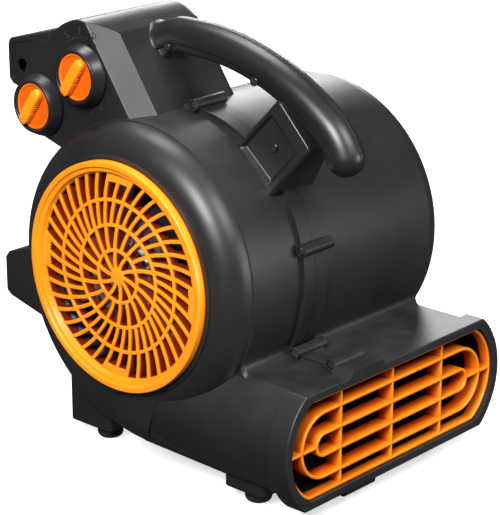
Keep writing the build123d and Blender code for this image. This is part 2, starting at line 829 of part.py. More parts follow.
def handle_halves():
    path = handle_path()
    outer = grip_bar(handle_radius, path) + leg_block(0)
    slope = (tower_front_top[0] - tower_foot[0]) / (tower_front_top[1] - tower_foot[1])
    up = (flange_height - tower_foot[1]) * math.hypot(1.0, slope)
    plate = Pos(seam_x, -flange_thickness / 2, up) * Rot(90, 0, 0) * Cylinder(handle_flange, flange_thickness)
    outer = outer + front_plane() * plate
    room = grip_bar(handle_radius - handle_wall, path) + leg_block(leg_wall)
    posts = []
    for y, z in handle_screw_places() + [leg_screw_place]:
        posts.append(x_cylinder(screw_head_radius + 2.0, leg_foot_x[0], leg_foot_x[1], y, z) & outer)
    body = outer - room
    for post in posts:
        body = body + post
    housing = snail(-seat_clear, band_half, 0)
    housing = housing + Pos(seam_x, 0, 0) * snail(-flange_rise - seat_clear, flange_half + seat_clear, 0)
    body = body - housing - tower(-seat_clear, tower_left, tower_right)
    for (y, z), surface, depth in handle_screw_seats():
        floor = surface + depth
        body = body - x_cylinder(screw_head_radius + 0.4, surface - 30, floor, y, z)
        body = body - x_cylinder(screw_radius + shank_clear, floor - 1, seam_x, y, z)
        body = body - x_cylinder(screw_radius + thread_clear, seam_x - 1, seam_x + 11.0, y, z)
    big = 400
    left = body & solid_box((-big, seam_x - seam_gap), (-big, big), (-big, big))
    right = body & solid_box((seam_x + seam_gap, big), (-big, big), (-big, big))
    return left, right


def handle_screw_seats():
    seats = [(place, seam_x - handle_radius, handle_screw_depth) for place in handle_screw_places()]
    return seats + [(leg_screw_place, leg_foot_x[0] + 3.0, leg_screw_depth)]


def handle_screws():
    pieces = []
    for (y, z), surface, depth in handle_screw_seats():
        floor = surface + depth
        pieces.append(Pos(floor, y, z) * screw(seam_x + 10.0 - floor))
    return group(pieces)


# ================================================================ controls
def panel():
    inset = tower_wall - panel_ledge + panel_clear
    plate = tower(inset, tower_left, tower_left + panel_thickness) - snail(-panel_clear, side_x, 0)
    for y, z in knob_centres.values():
        plate = plate - x_cylinder(bush_radius + 0.1, tower_left - 5, tower_left + 10, y, z)
    return plate


def control_body(name):
    """Switch or timer behind the panel, with its threaded bush through the panel."""
    y, z = knob_centres[name]
    back = tower_left + panel_thickness
    if name == "speed":
        case = solid_box((back, back + switch_depth), (y - switch_half, y + switch_half),
                         (z - switch_half, z + switch_half))
        case = fillet(case.edges().filter_by(Axis.X), 3.0)
    else:
        case = x_cylinder(timer_radius, back, back + timer_depth, y, z)
    bush = x_cylinder(bush_radius, tower_left - nut_thickness - 0.6, back + 1, y, z)
    bore = x_cylinder(spindle_radius + spindle_clear, tower_left - 20, back + 14, y, z)
    return case + bush - bore


def control_nuts():
    nuts = []
    for y, z in knob_centres.values():
        hexagon = Plane.YZ * RegularPolygon(nut_radius, 6)
        nut = Pos(tower_left - nut_thickness, y, z) * extrude(hexagon, nut_thickness)
        nuts.append(nut - x_cylinder(bush_radius + 0.05, tower_left - 10, tower_left + 10, y, z))
    return group(nuts)


def spindle(name):
    y, z = knob_centres[name]
    tip = tower_left - knob_gap - knob_height + insert_recess + insert_thickness + 0.3
    return x_cylinder(spindle_radius, tip, tower_left + panel_thickness + 13, y, z)


def knob_skirt(name):
    y, z = knob_centres[name]
    base = tower_left - knob_gap
    face = base - knob_height
    floor = face + insert_recess + insert_thickness
    cone = x_revolve([(base, 0), (base, knob_base_radius), (base - 2.0, knob_base_radius),
                      (face + 1.0, knob_face_radius + 0.6), (face, knob_face_radius - 0.4), (face, 0)])
    cone = Pos(0, y, z) * cone
    pocket = x_cylinder(insert_radius + insert_clear, face - 1, floor, y, z)
    under = x_cylinder(nut_radius + 2.5, base - nut_thickness - 1.6, base + 1, y, z)
    bore = x_cylinder(spindle_radius + 0.02, floor + 0.3, base + 1, y, z)
    return cone - pocket - under - bore


def knob_insert(name):
    """Coloured disc with a raised finger bar."""
    y, z = knob_centres[name]
    face = tower_left - knob_gap - knob_height
    floor = face + insert_recess + insert_thickness
    disc = x_cylinder(insert_radius, face + insert_recess, floor)
    bar = solid_box((face + insert_recess - grip_rise, floor - 0.5), (-insert_radius - 1, insert_radius + 1),
                    (-grip_half_width, grip_half_width))
    bar = bar & x_cylinder(insert_radius - 0.6, face - 20, floor)
    return Pos(0, y, z) * Rot(dial_rest[name], 0, 0) * (disc + bar)


# ================================================================ inside the tower
def capacitor():
    radius = back_radius + capacitor_radius + capacitor_seat
    y, z = on_arc((0, -back_drop), radius, capacitor_angle)
    can = x_cylinder(capacitor_radius, capacitor_end - capacitor_length, capacitor_end, y, z)
    return fillet(can.edges().filter_by(GeomType.CIRCLE), 2.0)


def terminal_block():
    face = tower_right - tower_wall
    block = solid_box((face - terminal_x, face), terminal_y, terminal_z)
    for k in range(4):
        y = terminal_y[0] + (k + 0.5) * (terminal_y[1] - terminal_y[0]) / 4
        block = block - Pos(face - terminal_x / 2, y, terminal_z[1]) * Cylinder(2.4, 8)
    return block


def cord_inlet():
    """Strain relief bush in the right wall of the tower."""
    y, z = gland_place
    collar_part = x_cylinder(gland_radius, tower_right, tower_right + gland_reach, y, z)
    shank = x_cylinder(gland_radius - 2.0, tower_right - tower_wall - 3, tower_right + 1, y, z)
    return collar_part + shank - x_cylinder(gland_bore, tower_right - 30, tower_right + 30, y, z)


# ================================================================ motor
def motor_middle():
    return (motor_far + motor_near) / 2


def tie_places(radius=tie_circle):
    return [on_arc((0, 0), radius, 30.0 + 360.0 * i / tie_count) for i in range(tie_count)]


def motor_bell(side):
    """Cup over one half of the laminations, with a bearing boss and vents."""
    middle = motor_middle()
    end = motor_far if side < 0 else motor_near
    low, high = sorted((end, middle + side * 0.5))
    cup = x_cylinder(motor_radius, low, high)
    room_low, room_high = sorted((end - side * bell_wall, middle - side * 5))
    cup = cup - x_cylinder(stack_radius + stack_clear, room_low, room_high)
    boss_low, boss_high = sorted((end - side * 0.5, end - side * (bell_wall + bearing_length)))
    cup = cup + x_cylinder(bearing_radius + 3.0, boss_low, boss_high)
    seat_low, seat_high = sorted((end - side * bell_wall, end - side * 60))
    cup = cup - (x_cylinder(bearing_radius + 0.03, seat_low, seat_high))
    cup = cup - x_cylinder(shaft_radius + 1.0, motor_far - 5 if side > 0 else motor_far + 1, motor_near + 5)
    for angle in range(0, 360, 60):
        cup = cup - x_cylinder(5.0, *sorted((end + side * 2, end - side * (bell_wall + 1))),
                               *on_arc((0, 0), 30.0, angle))
    for y, z in tie_places():
        cup = cup - x_cylinder(tie_radius + 0.1, motor_far - 5, motor_near + 5, y, z)
    if side < 0:
        pilot = screw_radius + thread_clear
        for y, z in tie_places(mount_screw_circle):
            cup = cup - x_cylinder(pilot, motor_far - 1, motor_far + bell_wall + 4, y, z)
    return cup


def stator():
    middle = motor_middle()
    low, high = middle - stack_length / 2, middle + stack_length / 2
    stack = x_tube(stack_radius, rotor_radius + rotor_gap, low, high)
    for y, z in tie_places():
        stack = stack - x_cylinder(tie_radius + 0.1, low - 1, high + 1, y, z)
    return stack


def windings():
    middle = motor_middle()
    rings = []
    for side in (-1, 1):
        near = stack_length / 2
        low, high = sorted((middle + side * near, middle + side * (near + winding_reach)))
        ring = x_tube(stack_radius - 7.0, rotor_radius + 2.0, low, high)
        rings.append(fillet(ring.edges().filter_by(GeomType.CIRCLE), 2.0))
    return group(rings)


def bearing(side):
    end = motor_far if side < 0 else motor_near
    low, high = sorted((end - side * bell_wall, end - side * (bell_wall + bearing_length)))
    return x_tube(bearing_radius, shaft_radius + shaft_clear, low, high)


def tie_bolts():
    length = motor_near - motor_far + 6.0
    pieces = []
    for y, z in tie_places():
        pieces.append(Pos(motor_far, y, z) * screw(length, tie_radius, 3.8, 2.6))
        nut = x_cylinder(3.8, motor_near, motor_near + 3.0, y, z)
        pieces.append(nut - x_cylinder(tie_radius + 0.05, motor_near - 1, motor_near + 5, y, z))
    return group(pieces)


def motor_bracket():
    """Three-armed plate on the left end of the motor."""
    low, high = motor_far - arm_thickness, motor_far
    plate = x_cylinder(bracket_ring, low, high)
    for angle in arm_angles():
        arm = solid_box((low, high), (0, lug_circle), (-arm_width / 2, arm_width / 2))
        tip = x_cylinder(arm_width / 2 - 2.0, low, high, lug_circle, 0)
        taper = yz_prism([(10, -arm_width / 2), (lug_circle, -arm_width / 2 + 2),
                          (lug_circle, arm_width / 2 - 2), (10, arm_width / 2)], low, high)
        plate = plate + Rot(angle, 0, 0) * ((arm & taper) + tip)
    plate = plate - x_cylinder(shaft_radius + 3.0, low - 1, high + 1)
    holes = [on_arc((0, 0), lug_circle, angle) for angle in arm_angles()] + tie_places(mount_screw_circle)
    for y, z in holes:
        plate = plate - x_cylinder(screw_radius + shank_clear, low - 1, high + 1, y, z)
    return plate


def bracket_screws():
    pieces = []
    for angle in arm_angles():
        y, z = on_arc((0, 0), lug_circle, angle)
        pieces.append(Pos(motor_far - arm_thickness, y, z) * screw(arm_thickness + 9.0))
    return group(pieces)


def motor_mount_screws():
    return group([Pos(motor_far - arm_thickness, y, z) * screw(arm_thickness + 5.0)
                  for y, z in tie_places(mount_screw_circle)])


def rotor():
    middle = motor_middle()
    half = stack_length / 2 + 1.0
    core = x_cylinder(rotor_radius, middle - half, middle + half)
    return core - x_cylinder(shaft_radius + 0.02, middle - half - 1, middle + half + 1)


def motor_shaft():
    return x_cylinder(shaft_radius, motor_far + 1.5, hub_length / 2 + 5.0)


# ================================================================ impeller
def blade_outline():
    """Forward-curved blade section between the wheel's inner and outer radius."""
    outer = wheel_radius - 0.4
    inner = wheel_inner
    half = blade_thickness / 2
    lean = blade_lean
    mid_r = (outer + inner) / 2

    def point(radius, turn, offset_by):
        spread = math.degrees(offset_by / radius)
        return on_arc((0, 0), radius, turn + spread)

    with BuildSketch() as sketch:
        with BuildLine():
            ThreePointArc(point(inner, 0, -half), point(mid_r, lean * 0.3, -half), point(outer, lean, -half))
            Line(point(outer, lean, -half), point(outer, lean, half))
            ThreePointArc(point(outer, lean, half), point(mid_r, lean * 0.3, half), point(inner, 0, half))
            Line(point(inner, 0, half), point(inner, 0, -half))
        make_face()
    return sketch.sketch


def impeller():
    """Squirrel-cage wheel: blades between two end rings, carried by a web on a hub."""
    blade = Pos(-wheel_half + 0.5, 0, 0) * extrude(Plane.YZ * blade_outline(), 2 * wheel_half - 1.0)
    blades = [Rot(360.0 * k / blade_count, 0, 0) * blade for k in range(blade_count)]
    web = x_cylinder(wheel_radius - 3.0, -web_thickness / 2, web_thickness / 2)
    hub = x_cylinder(hub_outer, -hub_length / 2, hub_length / 2)
    rings = []
    for side in (-1, 1):
        low, high = sorted((side * wheel_half, side * (wheel_half - wheel_ring)))
        rings.append(x_tube(wheel_radius, wheel_inner - 2.0, low, high))
    wheel = web.fuse(hub, *rings, *blades)
    wheel = wheel - x_cylinder(shaft_radius + 0.02, -hub_length, hub_length)
    grub = Pos(hub_length / 2 - 6.0, 0, 0) * Cylinder(2.05, 2 * hub_outer + 4)
    return wheel - (grub & solid_box((-50, 50), (-50, 50), (0, 50)))


def hub_grub_screw():
    middle = (shaft_radius + hub_outer) / 2
    return Pos(hub_length / 2 - 6.0, 0, middle) * Cylinder(2.0, hub_outer - shaft_radius - 0.6)


# ================================================================ feet and pads
def foot(x, y):
    """Domed rubber foot with a pocket for its screw."""
    low = -fan_height
    body = Pos(x, y, low + foot_height / 2) * Cylinder(foot_radius, foot_height)
    body = fillet(body.edges().filter_by(GeomType.CIRCLE).sort_by(Axis.Z)[0], foot_dome)
    pocket = Pos(x, y, low + foot_pocket / 2 - 0.5) * Cylinder(screw_head_radius + 0.5, foot_pocket + 1)
    hole = Pos(x, y, low + foot_height / 2) * Cylinder(screw_radius + shank_clear, foot_height + 2)
    return body - pocket - hole


def foot_screws():
    up = Rot(0, -90, 0)
    return group([Pos(x, y, -fan_height + foot_pocket) * up * screw(foot_height - foot_pocket + 6.0)
                  for x, y in foot_places()])


def rear_pad(x, z):
    face = rear_face
    disc = y_cylinder(pad_radius, face, back_reach, x, z)
    disc = fillet(disc.edges().filter_by(GeomType.CIRCLE).sort_by(Axis.Y)[-1], 1.5)
    return disc + y_cylinder(pad_peg_radius, face - pad_peg_length, face + 1, x, z)


# ================================================================ build every piece
def build():
    left, right = housing_halves()
    keep("left_housing", left)
    keep("right_housing", right)
    keep("housing_screws", housing_screws())
    grille = inlet_grille()
    keep("left_inlet_grille", grille)
    keep("right_inlet_grille", Rot(0, 0, 180) * grille)
    keep("outlet_grille", outlet_grille())
    left, right = handle_halves()
    keep("handle_left_half", left)
    keep("handle_right_half", right)
    keep("handle_screws", handle_screws())
    keep("control_panel", panel())
    keep("speed_switch", control_body("speed"))
    keep("run_timer", control_body("timer"))
    keep("control_nuts", control_nuts())
    for name in knob_centres:
        keep(name + "_spindle", spindle(name))
        keep(name + "_knob_skirt", knob_skirt(name))
        keep(name + "_knob_insert", knob_insert(name))
    keep("run_capacitor", capacitor())
    keep("terminal_block", terminal_block())
    keep("cord_inlet_bush", cord_inlet())
    keep("motor_bracket", motor_bracket())
    keep("bracket_screws", bracket_screws())
    keep("motor_mount_screws", motor_mount_screws())
    keep("motor_left_bell", motor_bell(-1))
    keep("motor_right_bell", motor_bell(1))
    keep("stator_laminations", stator())
    keep("stator_windings", windings())
    keep("left_bearing", bearing(-1))
    keep("right_bearing", bearing(1))
    keep("motor_tie_bolts", tie_bolts())
    keep("motor_rotor", rotor())
    keep("motor_shaft", motor_shaft())
    keep("impeller", impeller())
    keep("hub_grub_screw", hub_grub_screw())
    for (x, y), name in zip(foot_places(), ("front_left", "rear_left", "front_right", "rear_right")):
        keep(name + "_foot", foot(x, y))
    keep("foot_screws", foot_screws())
    for (x, z), name in zip(pad_places(), ("upper_left", "upper_right", "lower_left", "lower_right")):
        keep(name + "_rear_pad", rear_pad(x, z))


build()
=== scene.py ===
# %% [markdown]
# # A compact snail-shell air mover
#
# The real machine is a moulded snail-shell housing round a squirrel-cage wheel, with an amber grille
# over each round inlet and over the wide outlet, two knobs on a control tower and an arched carry
# handle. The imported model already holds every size, so this script loads it as a fixed frame, gives
# its moulded shells a finish, and puts finely shaped surfaces in place of the pieces that the eye
# reads first: grilles, knobs, dial marks, handle and screws.

# %% Load the frame
import json
import math
import bmesh
import bpy
import numpy as np
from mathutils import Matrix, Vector


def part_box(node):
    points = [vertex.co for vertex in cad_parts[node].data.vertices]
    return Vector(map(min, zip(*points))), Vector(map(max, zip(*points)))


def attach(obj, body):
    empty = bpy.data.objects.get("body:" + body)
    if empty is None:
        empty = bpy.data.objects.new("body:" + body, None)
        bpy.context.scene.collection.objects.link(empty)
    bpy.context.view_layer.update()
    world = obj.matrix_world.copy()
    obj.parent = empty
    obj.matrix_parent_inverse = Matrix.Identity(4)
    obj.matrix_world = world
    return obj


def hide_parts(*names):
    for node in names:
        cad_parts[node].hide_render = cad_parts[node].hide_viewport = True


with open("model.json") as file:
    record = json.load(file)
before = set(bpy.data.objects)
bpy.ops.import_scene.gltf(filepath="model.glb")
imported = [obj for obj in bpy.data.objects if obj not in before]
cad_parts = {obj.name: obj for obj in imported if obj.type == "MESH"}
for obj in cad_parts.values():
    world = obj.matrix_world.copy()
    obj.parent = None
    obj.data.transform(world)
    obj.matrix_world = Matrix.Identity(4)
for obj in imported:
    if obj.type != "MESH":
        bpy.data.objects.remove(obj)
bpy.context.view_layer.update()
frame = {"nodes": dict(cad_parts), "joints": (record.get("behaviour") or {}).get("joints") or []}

nodes = frame["nodes"]
MM = 0.001

# %% [markdown]
# ## Where things are
#
# Most round pieces turn about the fan axis, which lies along X. A joint in the frame says where it
# is, so nothing is typed twice. `spot` turns millimetres measured from that axis into the frame's
# metres, for whole arrays at once.

# %% The fan axis and a way to place points
joints = {joint["name"]: joint for joint in frame["joints"]}
fan_axis = np.array(joints["impeller_spin"]["pos_m"])


def spot(points):
    """Points in millimetres from the fan axis, moved into the frame in metres."""
    return np.asarray(points, float) * MM + fan_axis


def size_of(node):
    """Lowest and highest corner of a node, in millimetres from the fan axis."""
    low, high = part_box(node)
    return (np.array(low) - fan_axis) / MM, (np.array(high) - fan_axis) / MM


print("fan axis", fan_axis)

# %% [markdown]
# ## Surfaces from grids
#
# Every new shape here is a grid of points: rows along a profile and columns round or along a path.
# A grid needs no tool to build it. Its corners come from array arithmetic, and its faces are the
# same four-corner pattern shifted along rows and columns.

# %% Faces of a grid, with optional wrap and end caps
def grid_faces(rows, columns, wrap_rows=False, wrap_columns=False):
    """Four-corner faces of a rows by columns grid, as an array of point numbers."""
    row = np.arange(rows if wrap_rows else rows - 1)[:, None]
    column = np.arange(columns if wrap_columns else columns - 1)[None, :]
    next_row = (row + 1) % rows
    next_column = (column + 1) % columns
    corners = [row * columns + column, row * columns + next_column,
               next_row * columns + next_column, next_row * columns + column]
    return np.stack(np.broadcast_arrays(*corners), -1).reshape(-1, 4)


def grid_shape(points, wrap_rows=False, wrap_columns=False, caps=False):
    """(points, faces) of a grid; caps close the first and last row, each with one many-sided face."""
    rows, columns = points.shape[:2]
    faces = grid_faces(rows, columns, wrap_rows, wrap_columns).tolist()
    if caps:
        faces.append(list(range(columns))[::-1])
        faces.append(list(range((rows - 1) * columns, rows * columns)))
    return points.reshape(-1, 3), faces


def join(shapes):
    """Several (points, faces) shapes as one."""
    counts = np.cumsum([0] + [len(points) for points, _ in shapes[:-1]])
    points = np.concatenate([points for points, _ in shapes])
    faces = [[corner + start for corner in face]
             for (_, some), start in zip(shapes, counts.tolist()) for face in some]
    return points, faces


print("a 3 by 4 grid has", len(grid_faces(3, 4)), "faces")

# %% [markdown]
# A piece is a mesh that rides on one of the frame's bodies, takes the finish it is given, and stands
# for the plain solids it covers. Recalculating the normals makes every face point outwards, whichever
# way its grid ran, and edges sharper than the given angle stay crisp.

# %% Turn a shape into a piece
def piece(name, shape, finish, body="housing", stands_for=(), crisp=35.0):
    """A mesh object from (points in mm from the fan axis, faces)."""
    points, faces = shape
    mesh = bpy.data.meshes.new(name)
    mesh.from_pydata(spot(points).tolist(), [], faces)
    mesh.validate()
    turn_outward(mesh)
    mesh.shade_smooth()
    mesh.set_sharp_from_angle(angle=math.radians(crisp))
    mesh.materials.append(finish)
    thing = bpy.data.objects.new(name.replace(" ", "_"), mesh)
    bpy.context.scene.collection.objects.link(thing)
    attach(thing, body)
    if stands_for:
        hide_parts(*stands_for)
    print(name, len(mesh.polygons), "faces")
    return thing


def turn_outward(mesh):
    """Recalculate the face directions of each closed part of a mesh."""
    work = bmesh.new()
    work.from_mesh(mesh)
    bmesh.ops.recalc_face_normals(work, faces=work.faces)
    work.to_mesh(mesh)
    work.free()


# %% [markdown]
# ## Profiles
#
# Moulded parts have no knife edges: the tool that cuts the mould leaves a small radius. `eased`
# walks round the corners of an outline and replaces each by an arc that touches both sides, so an
# outline can be written as a few corners and a few radii.

# %% Outlines with eased corners
def eased(corners, bends, steps=5, closed=True):
    """Outline through corners, each replaced by an arc of the given radius.

    For a corner with unit directions u and v to its neighbours and half angle a between them, the
    arc starts and ends r / tan(a) away from the corner, and its centre lies r / sin(a) away along
    the bisector of u and v.
    """
    corners = np.asarray(corners, float)
    bends = np.broadcast_to(np.asarray(bends, float), len(corners))
    outline = []
    for index, (corner, bend) in enumerate(zip(corners, bends)):
        ends = not closed and index in (0, len(corners) - 1)
        if bend <= 0 or ends:
            outline.append(corner[None])
            continue
        back = corners[index - 1] - corner
        ahead = corners[(index + 1) % len(corners)] - corner
        u = back / np.linalg.norm(back)
        v = ahead / np.linalg.norm(ahead)
        half = math.acos(float(np.clip(u @ v, -1, 1))) / 2
        reach = min(bend / math.tan(half), 0.49 * min(np.linalg.norm(back), np.linalg.norm(ahead)))
        radius = reach * math.tan(half)
        bisector = (u + v) / np.linalg.norm(u + v)
        centre = corner + bisector * radius / math.sin(half)
        start = corner + u * reach - centre
        end = corner + v * reach - centre
        sweep = math.pi - 2 * half
        t = np.linspace(0, 1, steps)[:, None]
        arc = (np.sin((1 - t) * sweep) * start + np.sin(t * sweep) * end) / math.sin(sweep)
        outline.append(centre + arc)
    return np.concatenate(outline)


def spun(profile, turns):
    """Profile of (x, radius) turned about the fan axis: (x, r cos t, r sin t)."""
    t = np.linspace(0, 2 * math.pi, turns, endpoint=False)
    x, r = profile[:, 0, None], profile[:, 1, None]
    return np.stack(np.broadcast_arrays(x, r * np.cos(t), r * np.sin(t)), -1)


def lathe(profile, turns=96):
    """A closed profile turned into a ring."""
    return grid_shape(spun(profile, turns), wrap_rows=True, wrap_columns=True)


def cup(profile, turns=96):
    """An open profile turned into a solid whose two ends are closed by flat round faces."""
    return grid_shape(spun(profile, turns), wrap_columns=True, caps=True)


print("an eased square has", len(eased([(0, 0), (4, 0), (4, 4), (0, 4)], 1.0)), "points")

# %% Bars: an outline carried along paths
def bar(path, side, up, section, closed=False):
    """Section (m, 2) carried along path (n, 3): path + side * s0 + up * s1. Open ends are capped."""
    points = (path[:, None] + side[:, None] * section[None, :, 0, None]
              + up[:, None] * section[None, :, 1, None])
    return grid_shape(points, wrap_rows=closed, wrap_columns=True, caps=not closed)


def box_section(width, depth, ease, steps=3):
    """Rounded rectangle centred on the path across, from 0 to depth along the second direction."""
    half = width / 2
    return eased([(-half, 0), (half, 0), (half, depth), (-half, depth)], ease, steps)


# %% [markdown]
# ## Effects that several finishes share
#
# Three effects turn up in more than one finish. A moulded part has a faint spark-eroded grain and a
# colour that drifts a little over a hand's width, its edges rub lighter, and dust settles on what
# faces up. Each one is a node group that gives out only values, so every finish can use it with its
# own strength.

# %% Node group helpers
def new_group(name, inputs, outputs):
    """A shader node group with its input and output nodes; inputs are (label, kind, value)."""
    group = bpy.data.node_groups.new(name, "ShaderNodeTree")
    for label, kind, value in inputs:
        socket = group.interface.new_socket(label, in_out="INPUT", socket_type=kind)
        socket.default_value = value
    for label, kind in outputs:
        group.interface.new_socket(label, in_out="OUTPUT", socket_type=kind)
    start = group.nodes.new("NodeGroupInput")
    end = group.nodes.new("NodeGroupOutput")
    return group, start, end


def add(tree, kind, settings=None, links=None, **inputs):
    """Add a node, set its properties, its input values and the links into it."""
    node = tree.nodes.new(kind)
    for key, value in (settings or {}).items():
        setattr(node, key, value)
    for key, value in inputs.items():
        node.inputs[key.replace("_", " ")].default_value = value
    for key, source in (links or {}).items():
        tree.links.new(source, node.inputs[key])
    return node


FLOAT = "NodeSocketFloat"

# %% Moulded grain: height and a tone that drifts
grain_group, start, end = new_group(
    "Moulded grain", [("Grain size", FLOAT, 2200.0), ("Drift size", FLOAT, 14.0)],
    [("Height", FLOAT), ("Drift", FLOAT)])
where = add(grain_group, "ShaderNodeTexCoord")
fine = add(grain_group, "ShaderNodeTexNoise", links={"Vector": where.outputs["Object"],
           "Scale": start.outputs["Grain size"]}, Detail=2.0, Roughness=0.6)
broad = add(grain_group, "ShaderNodeTexNoise", links={"Vector": where.outputs["Object"],
            "Scale": start.outputs["Drift size"]}, Detail=3.0, Roughness=0.5)
grain_group.links.new(fine.outputs["Fac"], end.inputs["Height"])
grain_group.links.new(broad.outputs["Fac"], end.inputs["Drift"])
print("group", grain_group.name)

# %% Edge wear: a mask that is 1 where an edge bends within a small radius
wear_group, start, end = new_group("Edge wear", [("Break up", FLOAT, 90.0)], [("Mask", FLOAT)])
where = add(wear_group, "ShaderNodeTexCoord")
soft = add(wear_group, "ShaderNodeBevel", {"samples": 6}, Radius=0.0009)
true = add(wear_group, "ShaderNodeNewGeometry")
match = add(wear_group, "ShaderNodeVectorMath", {"operation": "DOT_PRODUCT"},
            links={0: soft.outputs["Normal"], 1: true.outputs["Normal"]})
bend = add(wear_group, "ShaderNodeMapRange", links={"Value": match.outputs["Value"]},
           From_Min=0.995, From_Max=0.86)
patch = add(wear_group, "ShaderNodeTexNoise", links={"Vector": where.outputs["Object"],
            "Scale": start.outputs["Break up"]}, Detail=4.0)
share = add(wear_group, "ShaderNodeMapRange", links={"Value": patch.outputs["Fac"]},
            From_Min=0.35, From_Max=0.65, To_Min=0.35)
mask = add(wear_group, "ShaderNodeMath", {"operation": "MULTIPLY"},
           links={0: bend.outputs["Result"], 1: share.outputs["Result"]})
wear_group.links.new(mask.outputs["Value"], end.inputs["Mask"])
print("group", wear_group.name)

# %% Dust: a mask on faces that look up
dust_group, start, end = new_group("Settled dust", [("Patch size", FLOAT, 35.0)], [("Mask", FLOAT)])
where = add(dust_group, "ShaderNodeTexCoord")
facing = add(dust_group, "ShaderNodeNewGeometry")
split = add(dust_group, "ShaderNodeSeparateXYZ", links={"Vector": facing.outputs["Normal"]})
upward = add(dust_group, "ShaderNodeMapRange", links={"Value": split.outputs["Z"]},
             From_Min=0.55, From_Max=1.0)
patch = add(dust_group, "ShaderNodeTexNoise", links={"Vector": where.outputs["Object"],
            "Scale": start.outputs["Patch size"]}, Detail=6.0, Roughness=0.65)
share = add(dust_group, "ShaderNodeMapRange", links={"Value": patch.outputs["Fac"]},
            From_Min=0.42, From_Max=0.75)
mask = add(dust_group, "ShaderNodeMath", {"operation": "MULTIPLY"},
           links={0: upward.outputs["Result"], 1: share.outputs["Result"]})
dust_group.links.new(mask.outputs["Value"], end.inputs["Mask"])
print("group", dust_group.name)

# %% [markdown]
# ## Finishes
#
# `moulded` builds every plastic in the same order: base colour with drift, lighter worn edges, a
# little dust, for some a fine dark joint and a painted shade that darkens with depth, then roughness
# and a grain bump. Metals use `metal`, which brushes the roughness along one direction instead.

# %% A moulded plastic
def mix_colour(tree, first, second, factor):
    """Mix two colours or colour sockets by a factor socket, and return the result socket."""
    node = tree.nodes.new("ShaderNodeMix")
    node.data_type = "RGBA"
    for socket, value in ((node.inputs[6], first), (node.inputs[7], second)):
        if isinstance(value, tuple):
            socket.default_value = (*value, 1.0)
        else:
            tree.links.new(value, socket)
    tree.links.new(factor, node.inputs[0])
    return node.outputs[2]


def placed_group(tree, group, **values):
    """A shared group placed in a finish, with some of its inputs set."""
    node = tree.nodes.new("ShaderNodeGroup")
    node.node_tree = group
    for key, value in values.items():
        node.inputs[key.replace("_", " ")].default_value = value
    return node


def scaled(tree, source, low, high, from_low=0.0, from_high=1.0):
    """A value moved from one range to another and held inside it."""
    node = add(tree, "ShaderNodeMapRange", links={"Value": source},
               From_Min=from_low, From_Max=from_high, To_Min=low, To_Max=high)
    return node.outputs["Result"]


def object_axis(tree, axis):
    """The place of a point along an axis of the frame."""
    where = add(tree, "ShaderNodeTexCoord")
    return add(tree, "ShaderNodeSeparateXYZ", links={"Vector": where.outputs["Object"]}).outputs[axis]


def near_plane(tree, axis, place, half):
    """A mask that is 1 near a plane across an axis and 0 from half a line's width away."""
    gap = add(tree, "ShaderNodeMath", {"operation": "SUBTRACT"}, {0: object_axis(tree, axis)})
    gap.inputs[1].default_value = place
    away = add(tree, "ShaderNodeMath", {"operation": "ABSOLUTE"}, {0: gap.outputs["Value"]})
    return scaled(tree, away.outputs["Value"], 1.0, 0.0, half * 0.5, half)


def along_axis(tree, axis, start, end):
    """A mask that rises from 0 at start to 1 at end along an axis."""
    return scaled(tree, object_axis(tree, axis), 0.0, 1.0, start, end)


dust_colour = (0.32, 0.31, 0.29)
joint_colour = (0.002, 0.002, 0.002)
joint_half = 0.0004


def moulded(name, dark, light, worn, rough, grain=2200.0, bump=0.12, dust=0.06, coat=0.0,
            line=None, painted_depth_shade=None):
    """A moulded plastic: dark and light are the ends of its drift, worn the colour of rubbed edges.

    A line is the place along X of a fine dark joint. The last argument, when given, is (axis, (start, end),
    colour): painted shade, the plastic darkens to that colour from start to end along the axis, deeper into
    a recess.
    """
    finish = bpy.data.materials.new(name)
    finish.use_nodes = True
    tree = finish.node_tree
    shader = tree.nodes["Principled BSDF"]
    texture = placed_group(tree, grain_group, Grain_size=grain)
    wear = placed_group(tree, wear_group)
    drift = scaled(tree, texture.outputs["Drift"], 0.0, 1.0, 0.3, 0.7)
    colour = mix_colour(tree, dark, light, drift)
    colour = mix_colour(tree, colour, worn, scaled(tree, wear.outputs["Mask"], 0.0, 0.3))
    if dust:
        film = placed_group(tree, dust_group)
        colour = mix_colour(tree, colour, dust_colour, scaled(tree, film.outputs["Mask"], 0.0, dust))
    if line is not None:
        colour = mix_colour(tree, colour, joint_colour, near_plane(tree, "X", line, joint_half))
    # painted shade: the plastic darkens with depth along the axis
    if painted_depth_shade is not None:
        colour = mix_colour(tree, colour, painted_depth_shade[2], along_axis(tree, painted_depth_shade[0], *painted_depth_shade[1]))
    tree.links.new(colour, shader.inputs["Base Color"])
    roughness = scaled(tree, texture.outputs["Drift"], rough - 0.05, rough + 0.05, 0.25, 0.75)
    tree.links.new(roughness, shader.inputs["Roughness"])
    height = add(tree, "ShaderNodeBump", links={"Height": texture.outputs["Height"]},
                 Strength=bump, Distance=0.0002)
    tree.links.new(height.outputs["Normal"], shader.inputs["Normal"])
    shader.inputs["Coat Weight"].default_value = coat
    shader.inputs["Coat Roughness"].default_value = 0.15
    return finish


